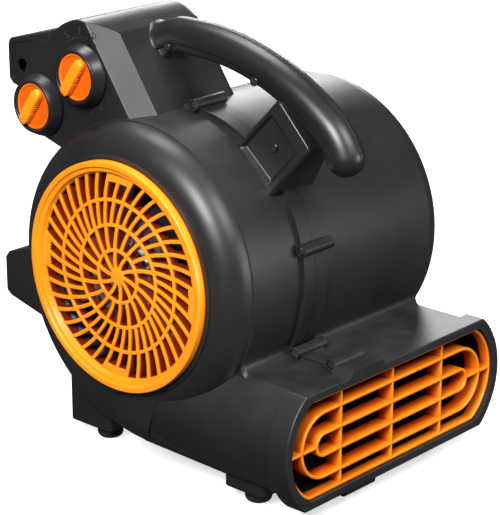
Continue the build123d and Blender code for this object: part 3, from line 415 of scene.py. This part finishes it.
seam_x = -39.5              # place of the housing's joint, in mm from the fan axis
vane_set_back = 5.5         # depth of the vanes behind the rim's front, in mm
outlet_face = size_of("outlet_grille")[0][1] * MM + fan_axis[1]
vane_face = (size_of("left_inlet_grille")[0][0] + vane_set_back) * MM
# painted shade colour for the depths of the inlet openings
painted_recess_red = (0.20, 0.016, 0.002)
charcoal = moulded("charcoal shell", (0.0105, 0.0105, 0.0115), (0.015, 0.015, 0.016),
                   (0.08, 0.08, 0.084), 0.40, line=fan_axis[0] + seam_x * MM)
satin = moulded("satin grip", (0.0085, 0.0085, 0.0095), (0.012, 0.012, 0.013), (0.07, 0.07, 0.074), 0.34)
# Painted shade: a darker copy of the grip plastic for the strip under the cap.
painted_shade_grip = moulded("grip plastic with painted shade", (0.006, 0.006, 0.0065), (0.009, 0.009, 0.010), (0.04, 0.04, 0.04), 0.4)
knob_black = moulded("knob black", (0.009, 0.009, 0.010), (0.014, 0.014, 0.015), (0.08, 0.08, 0.08), 0.36)
amber_look = dict(grain=1500.0, bump=0.03, dust=0.0, coat=0.2)
amber_tones = (0.95, 0.27, 0.007), (1.0, 0.33, 0.011), (1.0, 0.53, 0.08)
# Painted shade: each inlet grille turns deep red from just behind its vane fronts inwards, where its
# openings lie in shade.
vane_shade_depths = [vane_face + depth for depth in (0.0003, 0.002)]
amber_left, amber_right = [
    moulded("amber inlet " + side, *amber_tones, 0.32, **amber_look,
            painted_depth_shade=("X", [fan_axis[0] + way * place for place in vane_shade_depths], painted_recess_red))
    for side, way in (("left", 1), ("right", -1))]
# Painted shade: the outlet blades turn dark red from their front edges back into the grille.
amber_blade = moulded("amber outlet blades", *amber_tones, 0.3, **amber_look,
                      painted_depth_shade=("Y", (outlet_face - 0.003, outlet_face + 0.011), (0.52, 0.045, 0.001)))
# Painted shade: the amber insert turns darker and redder from the top of its finger bar down to the disc.
insert_faces = [(size_of("speed_knob_insert")[0][0] + depth) * MM + fan_axis[0] for depth in (2.5, 7.0)]
amber_knob = moulded("amber knob", *amber_tones, 0.33, **amber_look,
                     painted_depth_shade=("X", insert_faces, (0.70, 0.11, 0.002)))
screw_black = moulded("black screw", (0.008, 0.008, 0.009), (0.012, 0.012, 0.013), (0.2, 0.2, 0.21), 0.22,
                      bump=0.02, dust=0.0, coat=0.4)
rubber = moulded("foot rubber", (0.010, 0.010, 0.010), (0.016, 0.016, 0.016), (0.05, 0.05, 0.05), 0.7,
                 grain=1200.0, bump=0.3, dust=0.15)
wheel_black = moulded("wheel black", (0.006, 0.006, 0.0065), (0.010, 0.010, 0.011), (0.04, 0.04, 0.04), 0.5)
ivory = moulded("ivory case", (0.62, 0.58, 0.48), (0.7, 0.66, 0.56), (0.8, 0.78, 0.7), 0.4, dust=0.05)
print("plastics ready")

# %% A metal
def metal(name, colour, stain, rough, stretch=(1.0, 1.0, 1.0), fine=900.0):
    """Bare metal whose roughness is brushed by a stretched noise, stained in patches."""
    finish = bpy.data.materials.new(name)
    finish.use_nodes = True
    tree = finish.node_tree
    shader = tree.nodes["Principled BSDF"]
    where = add(tree, "ShaderNodeTexCoord")
    brush = add(tree, "ShaderNodeMapping", links={"Vector": where.outputs["Object"]}, Scale=stretch)
    lines = add(tree, "ShaderNodeTexNoise", links={"Vector": brush.outputs["Vector"]},
                Scale=fine, Detail=3.0)
    texture = placed_group(tree, grain_group, Grain_size=fine, Drift_size=60.0)
    patches = scaled(tree, texture.outputs["Drift"], 0.0, 0.6, 0.45, 0.7)
    tree.links.new(mix_colour(tree, colour, stain, patches), shader.inputs["Base Color"])
    brushed = scaled(tree, lines.outputs["Fac"], rough - 0.1, rough + 0.12)
    tree.links.new(brushed, shader.inputs["Roughness"])
    shader.inputs["Metallic"].default_value = 1.0
    height = add(tree, "ShaderNodeBump", links={"Height": lines.outputs["Fac"]},
                 Strength=0.08, Distance=0.0001)
    tree.links.new(height.outputs["Normal"], shader.inputs["Normal"])
    return finish


black_steel = metal("blackened steel", (0.06, 0.06, 0.065), (0.03, 0.03, 0.032), 0.32)
zinc = metal("zinc-plated steel", (0.62, 0.62, 0.64), (0.45, 0.44, 0.42), 0.3)
cast = metal("die-cast aluminium", (0.7, 0.7, 0.72), (0.5, 0.5, 0.5), 0.42, fine=500.0)
laminated = metal("stacked sheet steel", (0.34, 0.33, 0.32), (0.2, 0.17, 0.14), 0.4, (60.0, 1.0, 1.0), 40.0)
copper = metal("lacquered copper", (0.72, 0.30, 0.12), (0.5, 0.2, 0.08), 0.25, (30.0, 1.0, 1.0), 60.0)
print("metals ready")

# %% Finishes for the solids that stay
stays = {
    "left_housing": charcoal, "right_housing": charcoal, "control_panel": charcoal,
    "handle_left_half": satin, "handle_right_half": satin,
    "housing_screws": black_steel, "handle_screws": black_steel, "foot_screws": black_steel,
    "left_inlet_grille": amber_left, "right_inlet_grille": amber_right, "outlet_grille": amber_blade,
    "speed_switch": ivory, "run_timer": ivory, "control_nuts": zinc, "speed_spindle": zinc,
    "timer_spindle": zinc, "speed_knob_skirt": knob_black, "timer_knob_skirt": knob_black,
    "speed_knob_insert": amber_knob, "timer_knob_insert": amber_knob, "run_capacitor": ivory,
    "terminal_block": ivory, "cord_inlet_bush": rubber, "motor_bracket": zinc,
    "bracket_screws": black_steel, "motor_mount_screws": black_steel, "motor_left_bell": cast,
    "motor_right_bell": cast, "stator_laminations": laminated, "stator_windings": copper,
    "left_bearing": zinc, "right_bearing": zinc, "motor_tie_bolts": black_steel,
    "motor_rotor": laminated, "motor_shaft": zinc, "impeller": wheel_black,
    "hub_grub_screw": black_steel,
}
for name, thing in nodes.items():
    finish = stays.get(name, rubber)        # the feet and the rear pads are the ones not named
    thing.data.materials.clear()
    thing.data.materials.append(finish)
print("finished", len(nodes), "solids")

# %% [markdown]
# ## Inlet grilles
#
# Four rings of vanes swirl out from a small hub. Each ring starts where the one inside it ended, so
# the swirl runs on steadily from the hub to the rim. In the outer ring two openings of each quarter
# are filled at their outer end by short vanes, which makes eight small pads at the rim.

# %% Sizes of the inlet grille
grille_low, grille_high = size_of("left_inlet_grille")
rim_radius = (grille_high[2] - grille_low[2]) / 2
grille_front = grille_low[0]
grille_tail = grille_high[0]
side_face = grille_front + 8.6
hub_radius = 6.0
vane_front = grille_front + vane_set_back
vane_depth = 8.5
vane_width = 3.0
root = 0.8                  # how far a vane runs into the bands at its ends
pin_hole = 0.05             # radius at which a turned shape stops short of its axis
first_pad = 3               # number of the first vane that has a pad beside it
pad_vanes = 4               # short vanes that fill the outer end of an opening
pad_reach = 7.0             # how far they reach inwards from the outer radius
# inner radius, outer radius, number of vanes and swirl in degrees of each ring
vane_rings = ((6.0, 19.6, 10, 12.0), (22.4, 39.6, 20, 7.0), (42.4, 59.6, 40, 6.0),
              (62.4, 83.0, 40, 6.5))
print("rim radius", round(rim_radius, 1), "front", round(grille_front, 1))


# %% Vanes, bands and rim
def ring_bar(inner, outer, front, depth, ease=0.7):
    """A flat ring with eased edges, as a lathed box."""
    corners = [(front, inner), (front, outer), (front + depth, outer), (front + depth, inner)]
    return lathe(eased(corners, ease, 4), 144)


def swirl_vane(inner, outer, start, sweep, end, first=None, steps=8):
    """One vane: its angle turns by sweep between the inner and outer radius.

    The centre line is (r cos a, r sin a) with a = start + sweep (r - inner) / (outer - inner),
    measured from the back towards the top. It runs from radius first, or from the inner ring,
    and stops at radius end.
    """
    r = np.linspace(inner - root if first is None else first, end, steps)
    a = np.radians(start + sweep * (r - inner) / (outer - inner))
    line = np.stack([np.full(steps, vane_front), r * np.cos(a), r * np.sin(a)], -1)
    along = np.gradient(line, axis=0)
    along /= np.linalg.norm(along, axis=1, keepdims=True)
    inward = np.broadcast_to([1.0, 0.0, 0.0], along.shape)
    side = np.cross(along, inward)
    return bar(line, side, inward, box_section(vane_width, vane_depth, 0.35))


def inlet_grille():
    """Vanes, the bands between their rings, hub and rim, as one shape."""
    shapes = []
    turned = 0.0
    for index, (inner, outer, count, sweep) in enumerate(vane_rings):
        pitch = 360.0 / count
        end = outer + root
        for k in range(count):
            start = 180.0 - (k * pitch - turned)
            shapes.append(swirl_vane(inner, outer, start, sweep, end))
            if index == len(vane_rings) - 1 and (k - first_pad) % (count // 4) < 2:
                for part in range(1, pad_vanes + 1):
                    between = start + pitch * part / (pad_vanes + 1)
                    shapes.append(swirl_vane(inner, outer, between, sweep, end, outer - pad_reach))
        if index:
            band_inner = vane_rings[index - 1][1]
            shapes.append(ring_bar(band_inner, inner, vane_front - 0.1, vane_depth + 0.1, 0.4))
        turned += sweep
    hub_front, hub_back = vane_front - 0.2, vane_front + vane_depth
    hub = [(hub_front, pin_hole), (hub_front, hub_radius + 1.0), (hub_back, hub_radius + 1.0),
           (hub_back, pin_hole)]
    shapes.append(cup(eased(hub, (0, 0.6, 0.6, 0), 5), 48))
    rim = [(side_face, rim_radius), (grille_front, rim_radius), (grille_front, rim_radius - 4.4),
           (grille_front + 1.8, rim_radius - 4.9), (grille_front + 2.3, rim_radius - 8.2),
           (vane_front - 0.5, rim_radius - 9.2), (vane_front + 1.2, rim_radius - 10.4),
           (grille_tail, rim_radius - 10.4), (grille_tail, rim_radius - 8.4),
           (side_face, rim_radius - 8.4)]
    shapes.append(lathe(eased(rim, (0.4, 0.7, 0.6, 0.4, 0.5, 0.5, 0.6, 0.4, 0.4, 0.2), 5), 192))
    return join(shapes)


left_grille = inlet_grille()
piece("left inlet vanes and rim", left_grille, amber_left, stands_for=("left_inlet_grille",))
turned_round = left_grille[0] * np.array([-1.0, -1.0, 1.0])
piece("right inlet vanes and rim", (turned_round, left_grille[1]), amber_right,
      stands_for=("right_inlet_grille",))

# %% [markdown]
# ## Outlet grille
#
# The outlet is a bowed rectangle. Two long rings and three ribs stand inside a thin frame, and their
# front edges are rounded, which is what catches the light.

# %% Outlet grille
out_low, out_high = size_of("outlet_grille")
out_front = out_low[1]
out_middle = (out_low[2] + out_high[2]) / 2
out_bar = 2.6
frame_depth = 9.0
blade_depth = out_high[1] - out_front
frame_half = out_high[0]
corner_half = frame_half - 22.5        # the sides bow out by this much between the corners
frame_half_height = (out_high[2] - out_low[2]) / 2
rib_places = (-66.0, -3.5, 59.5)
rib_set_back = 0.3
long_rings = ((112.5, 27.6), (95.3, 10.1))      # half length and half height of each


def flat_bar(outline, depth, closed, width=out_bar):
    """A bar of the given depth along an outline of (x, z) points, its eased edge in front."""
    outline = np.asarray(outline, float)
    line = np.stack([outline[:, 0], np.full(len(outline), out_front), outline[:, 1]], -1)
    if closed:
        along = np.roll(line, -1, axis=0) - np.roll(line, 1, axis=0)
    else:
        along = np.gradient(line, axis=0)
    along /= np.linalg.norm(along, axis=1, keepdims=True)
    back = np.broadcast_to([0.0, 1.0, 0.0], along.shape)
    return bar(line, np.cross(along, back), back, box_section(width, depth, 0.9, 4), closed)


def stadium(half_length, half_height, steps=20):
    """Long ring: two half circles of radius half_height joined by straight runs."""
    t = np.linspace(-math.pi / 2, math.pi / 2, steps)
    reach = half_length - half_height
    right = np.stack([reach + half_height * np.cos(t), half_height * np.sin(t)], -1)
    return np.concatenate([right, -right])


def bowed_outline(half, bulge, half_height, steps=24):
    """Flat top and bottom; each side is an arc through (bulge, 0) and the corners (half, +-h)."""
    rise = bulge - half
    radius = (half_height ** 2 + rise ** 2) / (2 * rise)
    reach = math.asin(half_height / radius)
    t = np.linspace(-reach, reach, steps)
    right = np.stack([bulge - radius + radius * np.cos(t), radius * np.sin(t)], -1)
    return np.concatenate([right, -right])


def lifted(outline):
    """An outline about the middle of the outlet, moved up to its height."""
    return outline + np.array([0.0, out_middle])


half_bar = out_bar / 2
edge = bowed_outline(corner_half - half_bar, frame_half - half_bar, frame_half_height - half_bar)
outlet_shapes = [flat_bar(lifted(edge), frame_depth, True)]
for half_length, half_height in long_rings:
    ring = stadium(half_length - half_bar, half_height - half_bar)
    outlet_shapes.append(flat_bar(lifted(ring), blade_depth, True))
for x in rib_places:
    z = np.linspace(-frame_half_height + out_bar, frame_half_height - out_bar, 12)
    rib = np.stack([np.full(12, x), z], -1)
    outlet_shapes.append(flat_bar(lifted(rib), blade_depth - rib_set_back, False, out_bar * 0.9))
for side in (-1, 1):
    x = np.linspace(side * (long_rings[1][0] - half_bar), side * (frame_half - out_bar), 6)
    stub = np.stack([x, np.zeros(6)], -1)
    outlet_shapes.append(flat_bar(lifted(stub), blade_depth - rib_set_back, False))
piece("outlet rings and ribs", join(outlet_shapes), amber_blade, stands_for=("outlet_grille",))

# %% [markdown]
# ## Knobs
#
# A knob is a tapered black skirt with a rolled rim, and an amber insert with a finger bar. One flank
# of the bar is ribbed for grip. The skirt is lathed; the bar is a grid whose flank is pushed out
# and in by a wave.

# %% Knob shapes
rib_height = 1.1            # of the ribs on the finger bar
bar_angle = 125.0           # how the finger bar stands, from the rear towards the top


def turned_about(shape, y, z, degrees=0.0):
    """Turn a shape about X, then carry it to (y, z)."""
    points, faces = shape
    a = math.radians(degrees)
    turned = np.stack([points[:, 0], points[:, 1] * math.cos(a) - points[:, 2] * math.sin(a) + y,
                       points[:, 1] * math.sin(a) + points[:, 2] * math.cos(a) + z], -1)
    return turned, faces


def finger_bar(length, low, high, width=9.2, ribs=7):
    """A bar across the knob, from depth low out to high, ribbed along one flank.

    Along the bar the half width is w sqrt(1 - (s / L)^8), which rounds its ends, and one flank moves
    by a small wave over the middle part of its length.
    """
    s = np.linspace(-0.998, 0.998, 120)
    swell = np.sqrt(np.maximum(1 - np.abs(s) ** 8, 0.0))
    section = eased([(-0.5, 0), (-0.5, 1), (0.5, 1), (0.5, 0)], (0, 0.16, 0.16, 0), 6)
    across, out = section[:, 0], section[:, 1]
    square = 0.5 + 0.5 * np.sign(np.sin(s * ribs * 2 * math.pi))
    wave = np.where(np.abs(s - 0.25) < 0.48, square, 0.0) * rib_height
    flank = np.clip((across - 0.2) / 0.3, 0, 1) * np.clip(1.15 - out, 0, 1)
    reach = width * swell[:, None] * across[None] - wave[:, None] * flank[None]
    depth = low + (high - low) * out[None] * (0.55 + 0.45 * swell[:, None])
    points = np.stack(np.broadcast_arrays(depth, s[:, None] * length, reach), -1)
    return grid_shape(points, wrap_columns=True, caps=True)


# %% Both knobs
for name in ("speed", "timer"):
    skirt_low, skirt_high = size_of(name + "_knob_skirt")
    y, z = (skirt_low[1] + skirt_high[1]) / 2, (skirt_low[2] + skirt_high[2]) / 2
    base, face = skirt_high[0], skirt_low[0]
    base_radius = (skirt_high[1] - skirt_low[1]) / 2
    skirt = [(base, base_radius - 2.0), (base, base_radius), (base - 2.4, base_radius),
             (face + 2.0, base_radius - 3.0), (face, base_radius - 4.2), (face, base_radius - 6.0),
             (face + 1.0, base_radius - 6.7), (base - 4.0, base_radius - 6.8),
             (base - 4.0, base_radius - 9.0)]
    skirt = lathe(eased(skirt, (0.2, 0.5, 1.0, 1.8, 0.8, 0.5, 0.3, 0.2, 0.2), 5), 96)
    piece(name + " knob skirt", turned_about(skirt, y, z), knob_black, name + "_knob",
          (name + "_knob_skirt",))
    disc_radius = base_radius - 7.0
    disc_face = face + 2.4
    disc = [(base - 4.5, pin_hole), (base - 4.5, disc_radius), (disc_face - 0.9, disc_radius),
            (disc_face - 0.9, disc_radius - 1.2), (disc_face, disc_radius - 2.4),
            (disc_face + 0.3, pin_hole)]
    disc = cup(eased(disc, (0, 0.2, 0.5, 0.5, 0.8, 0), 5), 96)
    grip = finger_bar(disc_radius - 0.3, disc_face + 0.6, size_of(name + "_knob_insert")[0][0])
    insert = join([turned_about(disc, y, z), turned_about(grip, y, z, bar_angle)])
    piece(name + " knob insert", insert, amber_knob, name + "_knob",
          (name + "_knob_insert",))

# %% [markdown]
# ## Dial marks
#
# The panel round the upper knob carries an arc of raised dots, a few ticks and three numerals. They
# stand less than half a millimetre proud, as moulded marks do.

# %% Dots, ticks and numerals
speed_y, speed_z = np.mean(size_of("speed_knob_skirt"), axis=0)[1:]
panel_face = size_of("control_panel")[0][0]
dial_radius = 29.6
mark_rise = 0.4             # how far the marks stand out of the panel
mark_root = 0.15            # how far they start inside it
mark_rings = ((0.45, 0.9, np.arange(40, 125, 6.5)),         # half length, width and angles of dots
              (1.4, 0.8, np.arange(-150, 30, 22.5)))        # and of ticks


def mark(line, width=0.8):
    """A raised line on the panel through (y, z) points."""
    line = np.asarray(line, float)
    path = np.stack([np.full(len(line), panel_face + mark_root), line[:, 0], line[:, 1]], -1)
    along = np.gradient(path, axis=0)
    along /= np.linalg.norm(along, axis=1, keepdims=True)
    out = np.broadcast_to([-1.0, 0.0, 0.0], along.shape)
    return bar(path, np.cross(along, out), out, box_section(width, mark_rise + mark_root, 0.25))


def on_dial(radius, degrees):
    """The (y, z) point on the dial at a radius and an angle from the rear, towards the top."""
    a = math.radians(degrees)
    return np.array([speed_y + radius * math.cos(a), speed_z + radius * math.sin(a)])


def numeral(strokes, degrees, height=5.6):
    """Strokes drawn in a unit box and set just outside the dots, upright from the knob's centre."""
    a = math.radians(degrees)
    outward = np.array([math.cos(a), math.sin(a)])
    across = np.array([math.sin(a), -math.cos(a)])
    centre = on_dial(dial_radius + height, degrees)
    return [mark(centre + (np.asarray(stroke)[:, :1] - 0.3) * height * across
                 + (np.asarray(stroke)[:, 1:] - 0.5) * height * outward) for stroke in strokes]


turn = np.linspace(0, 2 * math.pi, 25)
zero = [np.stack([0.3 + 0.28 * np.cos(turn), 0.5 + 0.48 * np.sin(turn)], -1)]
one = [[(0.1, 0.78), (0.2, 0.86), (0.34, 1.0), (0.34, 0.5), (0.34, 0.0)]]
arc = np.radians(np.linspace(160, -40, 12))
two = [np.concatenate([np.stack([0.3 + 0.27 * np.cos(arc), 0.72 + 0.27 * np.sin(arc)], -1),
                       [(0.3, 0.28), (0.03, 0.02)]]), [(0.02, 0.0), (0.3, 0.0), (0.6, 0.0)]]
marks = []
for half_mark, width, angles in mark_rings:
    for degrees in angles:
        ends = [on_dial(dial_radius - half_mark, degrees), on_dial(dial_radius + half_mark, degrees)]
        marks.append(mark(ends, width))
for strokes, degrees in ((two, 58.0), (one, 84.0), (zero, 110.0)):
    marks += numeral(strokes, degrees)
piece("dial marks", join(marks), screw_black)

# %% [markdown]
# ## Carry handle
#
# Seen end on, the grip is a mushroom: a smooth cap overhangs a narrower strip that carries the
# screws. The section runs along a level stretch, a long arch and a tight nose, and swells into a
# flange where it meets the tower.

# %% Centre line of the grip
grip_radius = 14.8
grip_level = 171.4
grip_end = 18.0                     # y of the grip's rear end, inside the tower
arch = (4.0, 221.2, 38.0)           # start, radius and angle of the long arch
nose = (51.2, 30.0)                 # radius and angle of the nose


def grip_line():
    """Centre (y, z) and heading of the grip from the rear end to the nose.

    On an arc of radius R that starts at (y0, z0) with heading a, the point after turning by t is
    (y0 - R (sin(a + t) - sin a), z0 - R (cos a - cos(a + t))).
    """
    rows = []
    start_y, start_z, heading = arch[0], grip_level, 0.0
    for y in np.linspace(grip_end, start_y, 6)[:-1]:
        rows.append((y, grip_level, 0.0))
    for radius, angle, steps in ((arch[1], arch[2], 40), (*nose, 16)):
        for t in np.linspace(0, math.radians(angle), steps):
            y = start_y - radius * (math.sin(heading + t) - math.sin(heading))
            z = start_z - radius * (math.cos(heading) - math.cos(heading + t))
            rows.append((y, z, heading + t))
        start_y, start_z, heading = rows.pop()
    rows.append((start_y, start_z, heading))
    return rows


def grip_rows(swell_to=18.2, lean=math.radians(34.3), foot_y=36.4, foot_z=164.6):
    """Rows of (y, z, heading, scale): flange, grip and the rounded nose."""
    rows = []
    for t in np.linspace(1, 0, 14)[:-1]:
        ease = t * t * (3 - 2 * t)
        swell = 1 + (swell_to / grip_radius - 1) * t ** 4.5
        rows.append((grip_end + (foot_y - grip_end) * t, grip_level + (foot_z - grip_level) * ease,
                     -lean * ease, swell))
    rows += [(y, z, heading, 1.0) for y, z, heading in grip_line()]
    y, z, heading, _ = rows[-1]
    for t in np.radians(np.linspace(6, 88, 12)):
        reach = grip_radius * math.sin(t)
        rows.append((y - reach * math.cos(heading), z - reach * math.sin(heading), heading, math.cos(t)))
    return np.array(rows)


def along_grip(section, rows):
    """Grid of a (side, up) section carried along the grip's rows."""
    y, z, heading, scale = [column[:, None] for column in rows.T]
    side, up = section[None, :, 0] * scale, section[None, :, 1] * scale
    points = np.stack(np.broadcast_arrays(seam_x + side, y - up * np.sin(heading),
                                          z + up * np.cos(heading)), -1)
    return grid_shape(points, wrap_columns=True, caps=True)


# %% Cap and strip
def cap_section(top=grip_radius - 0.05, groove=0.85):
    """Half round over a rolled lip, with a fine groove on top where the two mouldings meet."""
    t = np.radians(np.linspace(-6, 88.2, 22))
    right = np.stack([(grip_radius - 0.1) * np.cos(t), grip_radius * np.sin(t)], -1)
    lip = eased([(14.6, -1.5), (14.2, -4.4), (11.6, -4.4), (10.0, -3.0)], (0.0, 1.3, 0.6, 0.0), 5, False)
    right = np.concatenate([lip[::-1], right, [(0.35, top), (0.0, top - groove)]])
    left = right[:-1][::-1] * np.array([-1.0, 1.0])
    return np.concatenate([right, left])


strip_side = [(-11.8, -2.0), (-11.2, -10.5), (-6.0, -13.4)]
strip_section = eased(strip_side + [(-x, y) for x, y in strip_side[::-1]],
                      (0.3, 2.5, 3.0, 3.0, 2.5, 0.3), 5)
rows = grip_rows()
handle_halves = ("handle_left_half", "handle_right_half")
piece("grip cap", along_grip(cap_section(), rows), satin, stands_for=handle_halves)
# The strip under the cap takes the darker copy of the grip plastic, which is painted shade.
piece("grip underside", along_grip(strip_section, rows), painted_shade_grip, stands_for=handle_halves,
      crisp=50)

# %% [markdown]
# The leg stands on the drum and reaches up under the front of the grip. Its left face has a sunk
# pocket round a screw, with a wide slanting wall towards the grip.

# %% Leg
leg_rear = np.array([(-61.0, 102.0), (-90.0, 139.0)])       # foot and neck of the rear edge, (y, z)
leg_front = np.array([(-98.0, 70.0), (-123.0, 104.0)])
leg_left = np.array([-65.0, -53.0])
leg_right = np.array([-14.0, -26.0])
leg_screw = (-91.5, 104.0)
leg_bend = 3.2
corner_steps = 6
face_points = 58
pocket_depth = 4.2
# border outside each wall of the pocket and the width of that wall, at its rear, front, foot and neck
pocket_rear, pocket_front = (3.5, 1.6), (7.0, 3.2)
pocket_foot, pocket_neck = (2.2, 1.4), (8.0, 4.5)


def step_up(value, start, width):
    """Smooth step from 0 at start to 1 at start + width."""
    t = np.clip((value - start) / width, 0, 1)
    return t * t * (3 - 2 * t)


def leg_row(v):
    """Outline of the leg at v from 0 at the foot to 1 at the neck, with the pocket pressed in."""
    share = min(max(v, 0.0), 1.0)
    rear = leg_rear[0] + (leg_rear[1] - leg_rear[0]) * v
    front = leg_front[0] + (leg_front[1] - leg_front[0]) * v
    low = leg_left[0] + (leg_left[1] - leg_left[0]) * v
    high = leg_right[0] + (leg_right[1] - leg_right[0]) * v
    depth = np.linalg.norm(front - rear)
    ring = eased([(0, low), (depth, low), (depth, high), (0, high)], leg_bend, corner_steps)
    along = np.linspace(ring[corner_steps - 1, 0], ring[corner_steps, 0], face_points + 2)[1:-1]
    face = np.stack([along, np.full(face_points, low)], -1)
    ring = np.concatenate([ring[:corner_steps], face, ring[corner_steps:]])
    a = ring[:, 0]
    height = np.linalg.norm(leg_rear[1] - leg_rear[0])
    sunk = (step_up(a, *pocket_rear) * step_up(depth - a, *pocket_front)
            * step_up(share * height, *pocket_foot) * step_up((1 - share) * height, *pocket_neck))
    inward = np.where(ring[:, 1] < low + 0.01, sunk * pocket_depth, 0.0)
    across = (front - rear) / depth
    middle = rear[None] + a[:, None] * across[None]
    return np.stack([ring[:, 1] + inward, middle[:, 0], middle[:, 1]], -1)


levels = np.concatenate([[-0.06], np.linspace(0, 1, 70)])
leg = np.stack([leg_row(v) for v in levels])
top = leg[-1]
centre = top.mean(axis=0)
lift = (leg[-1] - leg[-2]).mean(axis=0)
lift = lift / np.linalg.norm(lift)
rounds = [centre + (top - centre) * (1 - 0.12 * (1 - math.cos(t))) + lift * 2.6 * math.sin(t)
          for t in np.radians((25, 50, 75, 90))]
leg = np.concatenate([leg, np.stack(rounds)])
piece("grip leg", grid_shape(leg, wrap_columns=True, caps=True), satin,
      stands_for=handle_halves, crisp=50)

# %% [markdown]
# ## Screws
#
# Every visible head is a low dome with a cross pressed into it. The dome is a round grid; the cross
# is a depth taken off where a point lies within either arm.

# %% Screw heads
head_radius = 3.6
head_height = 2.6


def screw_shape(head_x, y, z, tip, radius=head_radius, shank=1.9):
    """A dome that faces -X with a cross recess: height h sqrt(1 - (r / R)^2 / 1.6) less the cross."""
    r = np.concatenate([np.linspace(0.02, 1, 26) * radius, [radius, shank, shank, 0.02]])
    t = np.linspace(0, 2 * math.pi, 64, endpoint=False)
    across, along = r[:, None] * np.cos(t), r[:, None] * np.sin(t)
    dome = head_height * np.sqrt(1 - (r / radius) ** 2 / 1.6)
    arm = np.minimum(np.abs(across), np.abs(along)) < 0.48
    cross = arm & (np.maximum(np.abs(across), np.abs(along)) < radius * 0.62)
    height = dome[:, None] - np.where(cross, 1.3, 0.0)
    height[-4:-2] = 0.0
    height[-2:] = -tip
    points = np.stack([head_x - height, y + across, z + along], -1)
    return grid_shape(points, wrap_columns=True, caps=True)


def node_spots(node, tolerance=1.0):
    """Middle (y, z) and x range of each screw in a node, from corners that lie near each other."""
    thing = nodes[node]
    corners = np.array([vertex.co[:] for vertex in thing.data.vertices])
    corners = (corners - fan_axis) / MM
    left = list(range(len(corners)))
    found = []
    while left:
        seed = corners[left[0], 1:]
        near = [k for k in left if np.linalg.norm(corners[k, 1:] - seed) < 2 * head_radius + tolerance]
        some = corners[near]
        middle = (some[:, 1:].min(axis=0) + some[:, 1:].max(axis=0)) / 2
        found.append((middle[0], middle[1], some[:, 0].min(), some[:, 0].max()))
        left = [k for k in left if k not in set(near)]
    return found


# The screws of the grip stand lower than the solids they replace, on its strip; the leg's doesn't.
for node, title, drop in (("housing_screws", "seam screws", 0.0), ("handle_screws", "grip screws", 8.0)):
    shapes = []
    for y, z, x_low, x_high in node_spots(node):
        on_leg = np.hypot(y - leg_screw[0], z - leg_screw[1]) < 4.0
        head_x = x_low + (head_height if on_leg else 0.0)
        shapes.append(screw_shape(head_x, y, z - (0.0 if on_leg else drop), x_high - head_x))
    piece(title, join(shapes), screw_black, stands_for=(node,), crisp=40)

# %% [markdown]
# ## Floor, light and camera
#
# The floor is plain pale paper that glows a little, so it stays white where the lights fall off. The
# light is soft and directional: a key box to the left, a brow box high in front, a top box, a
# broad box behind to the right that skims the upward faces, and a weak fill in front.

# %% Floor and lights
reach = 6.0
paper_glow = 0.62
world_light = 0.07
floor_mesh = bpy.data.meshes.new("floor")
floor_mesh.from_pydata([(-reach, -reach, 0), (reach, -reach, 0), (reach, reach, 0), (-reach, reach, 0)],
                       [], [(0, 1, 2, 3)])
floor = bpy.data.objects.new("floor", floor_mesh)
bpy.context.scene.collection.objects.link(floor)
paper = bpy.data.materials.new("pale paper")
paper.use_nodes = True
paper_shader = paper.node_tree.nodes["Principled BSDF"]
paper_shader.inputs["Base Color"].default_value = (0.8, 0.8, 0.8, 1)
paper_shader.inputs["Roughness"].default_value = 0.95
paper_shader.inputs["Emission Color"].default_value = (1, 1, 1, 1)
paper_shader.inputs["Emission Strength"].default_value = paper_glow
floor_mesh.materials.append(paper)
floor.visible_diffuse = False
floor.visible_glossy = False

bpy.context.scene.view_settings.view_transform = "Standard"
world = bpy.data.worlds.new("studio")
bpy.context.scene.world = world
world.use_nodes = True
sky = world.node_tree
seen = add(sky, "ShaderNodeLightPath")
strength = add(sky, "ShaderNodeMapRange", links={"Value": seen.outputs["Is Camera Ray"]},
               To_Min=world_light, To_Max=1.0)
sky.nodes["Background"].inputs["Color"].default_value = (1, 1, 1, 1)
sky.links.new(strength.outputs["Result"], sky.nodes["Background"].inputs["Strength"])


def softbox(name, place, width, height, power):
    """A rectangular light of the given size and power that faces the middle of the machine."""
    light = bpy.data.lights.new(name, "AREA")
    light.shape = "RECTANGLE"
    light.size = width
    light.size_y = height
    light.energy = power
    lamp = bpy.data.objects.new(name, light)
    bpy.context.scene.collection.objects.link(lamp)
    lamp.location = place
    lamp.rotation_euler = (Vector(lit_point) - Vector(place)).to_track_quat("-Z", "Y").to_euler()


lit_point = (0.0, 0.0, 0.18)
softbox("key box", (-1.35, -0.55, 1.15), 0.6, 0.6, 46)
softbox("brow box", (-0.1, -1.3, 1.4), 0.9, 0.6, 22)
softbox("top box", (0.1, 0.35, 1.6), 0.7, 0.5, 14)
softbox("skimming box", (1.45, 1.1, 0.9), 0.9, 0.5, 14)
softbox("front fill", (0.7, -1.7, 0.35), 0.7, 0.5, 12)
print("lights placed")

# %% Camera
camera_turn = -48.043       # degrees about the vertical
camera_tilt = 18.731        # degrees above the level
camera_distance = 1.635
camera_aim = (0.00236, -0.0155, 0.15461)
camera_lens = 140.06

lens = bpy.data.cameras.new("camera")
lens.lens = camera_lens
lens.sensor_width = 36.0
camera = bpy.data.objects.new("camera", lens)
bpy.context.scene.collection.objects.link(camera)
turn, tilt = math.radians(camera_turn), math.radians(camera_tilt)
away = np.array([math.sin(turn) * math.cos(tilt), -math.cos(turn) * math.cos(tilt), math.sin(tilt)])
camera.location = np.array(camera_aim) + camera_distance * away
camera.rotation_euler = (math.pi / 2 - tilt, 0.0, turn)
bpy.context.scene.camera = camera
print("camera at", tuple(camera.location))
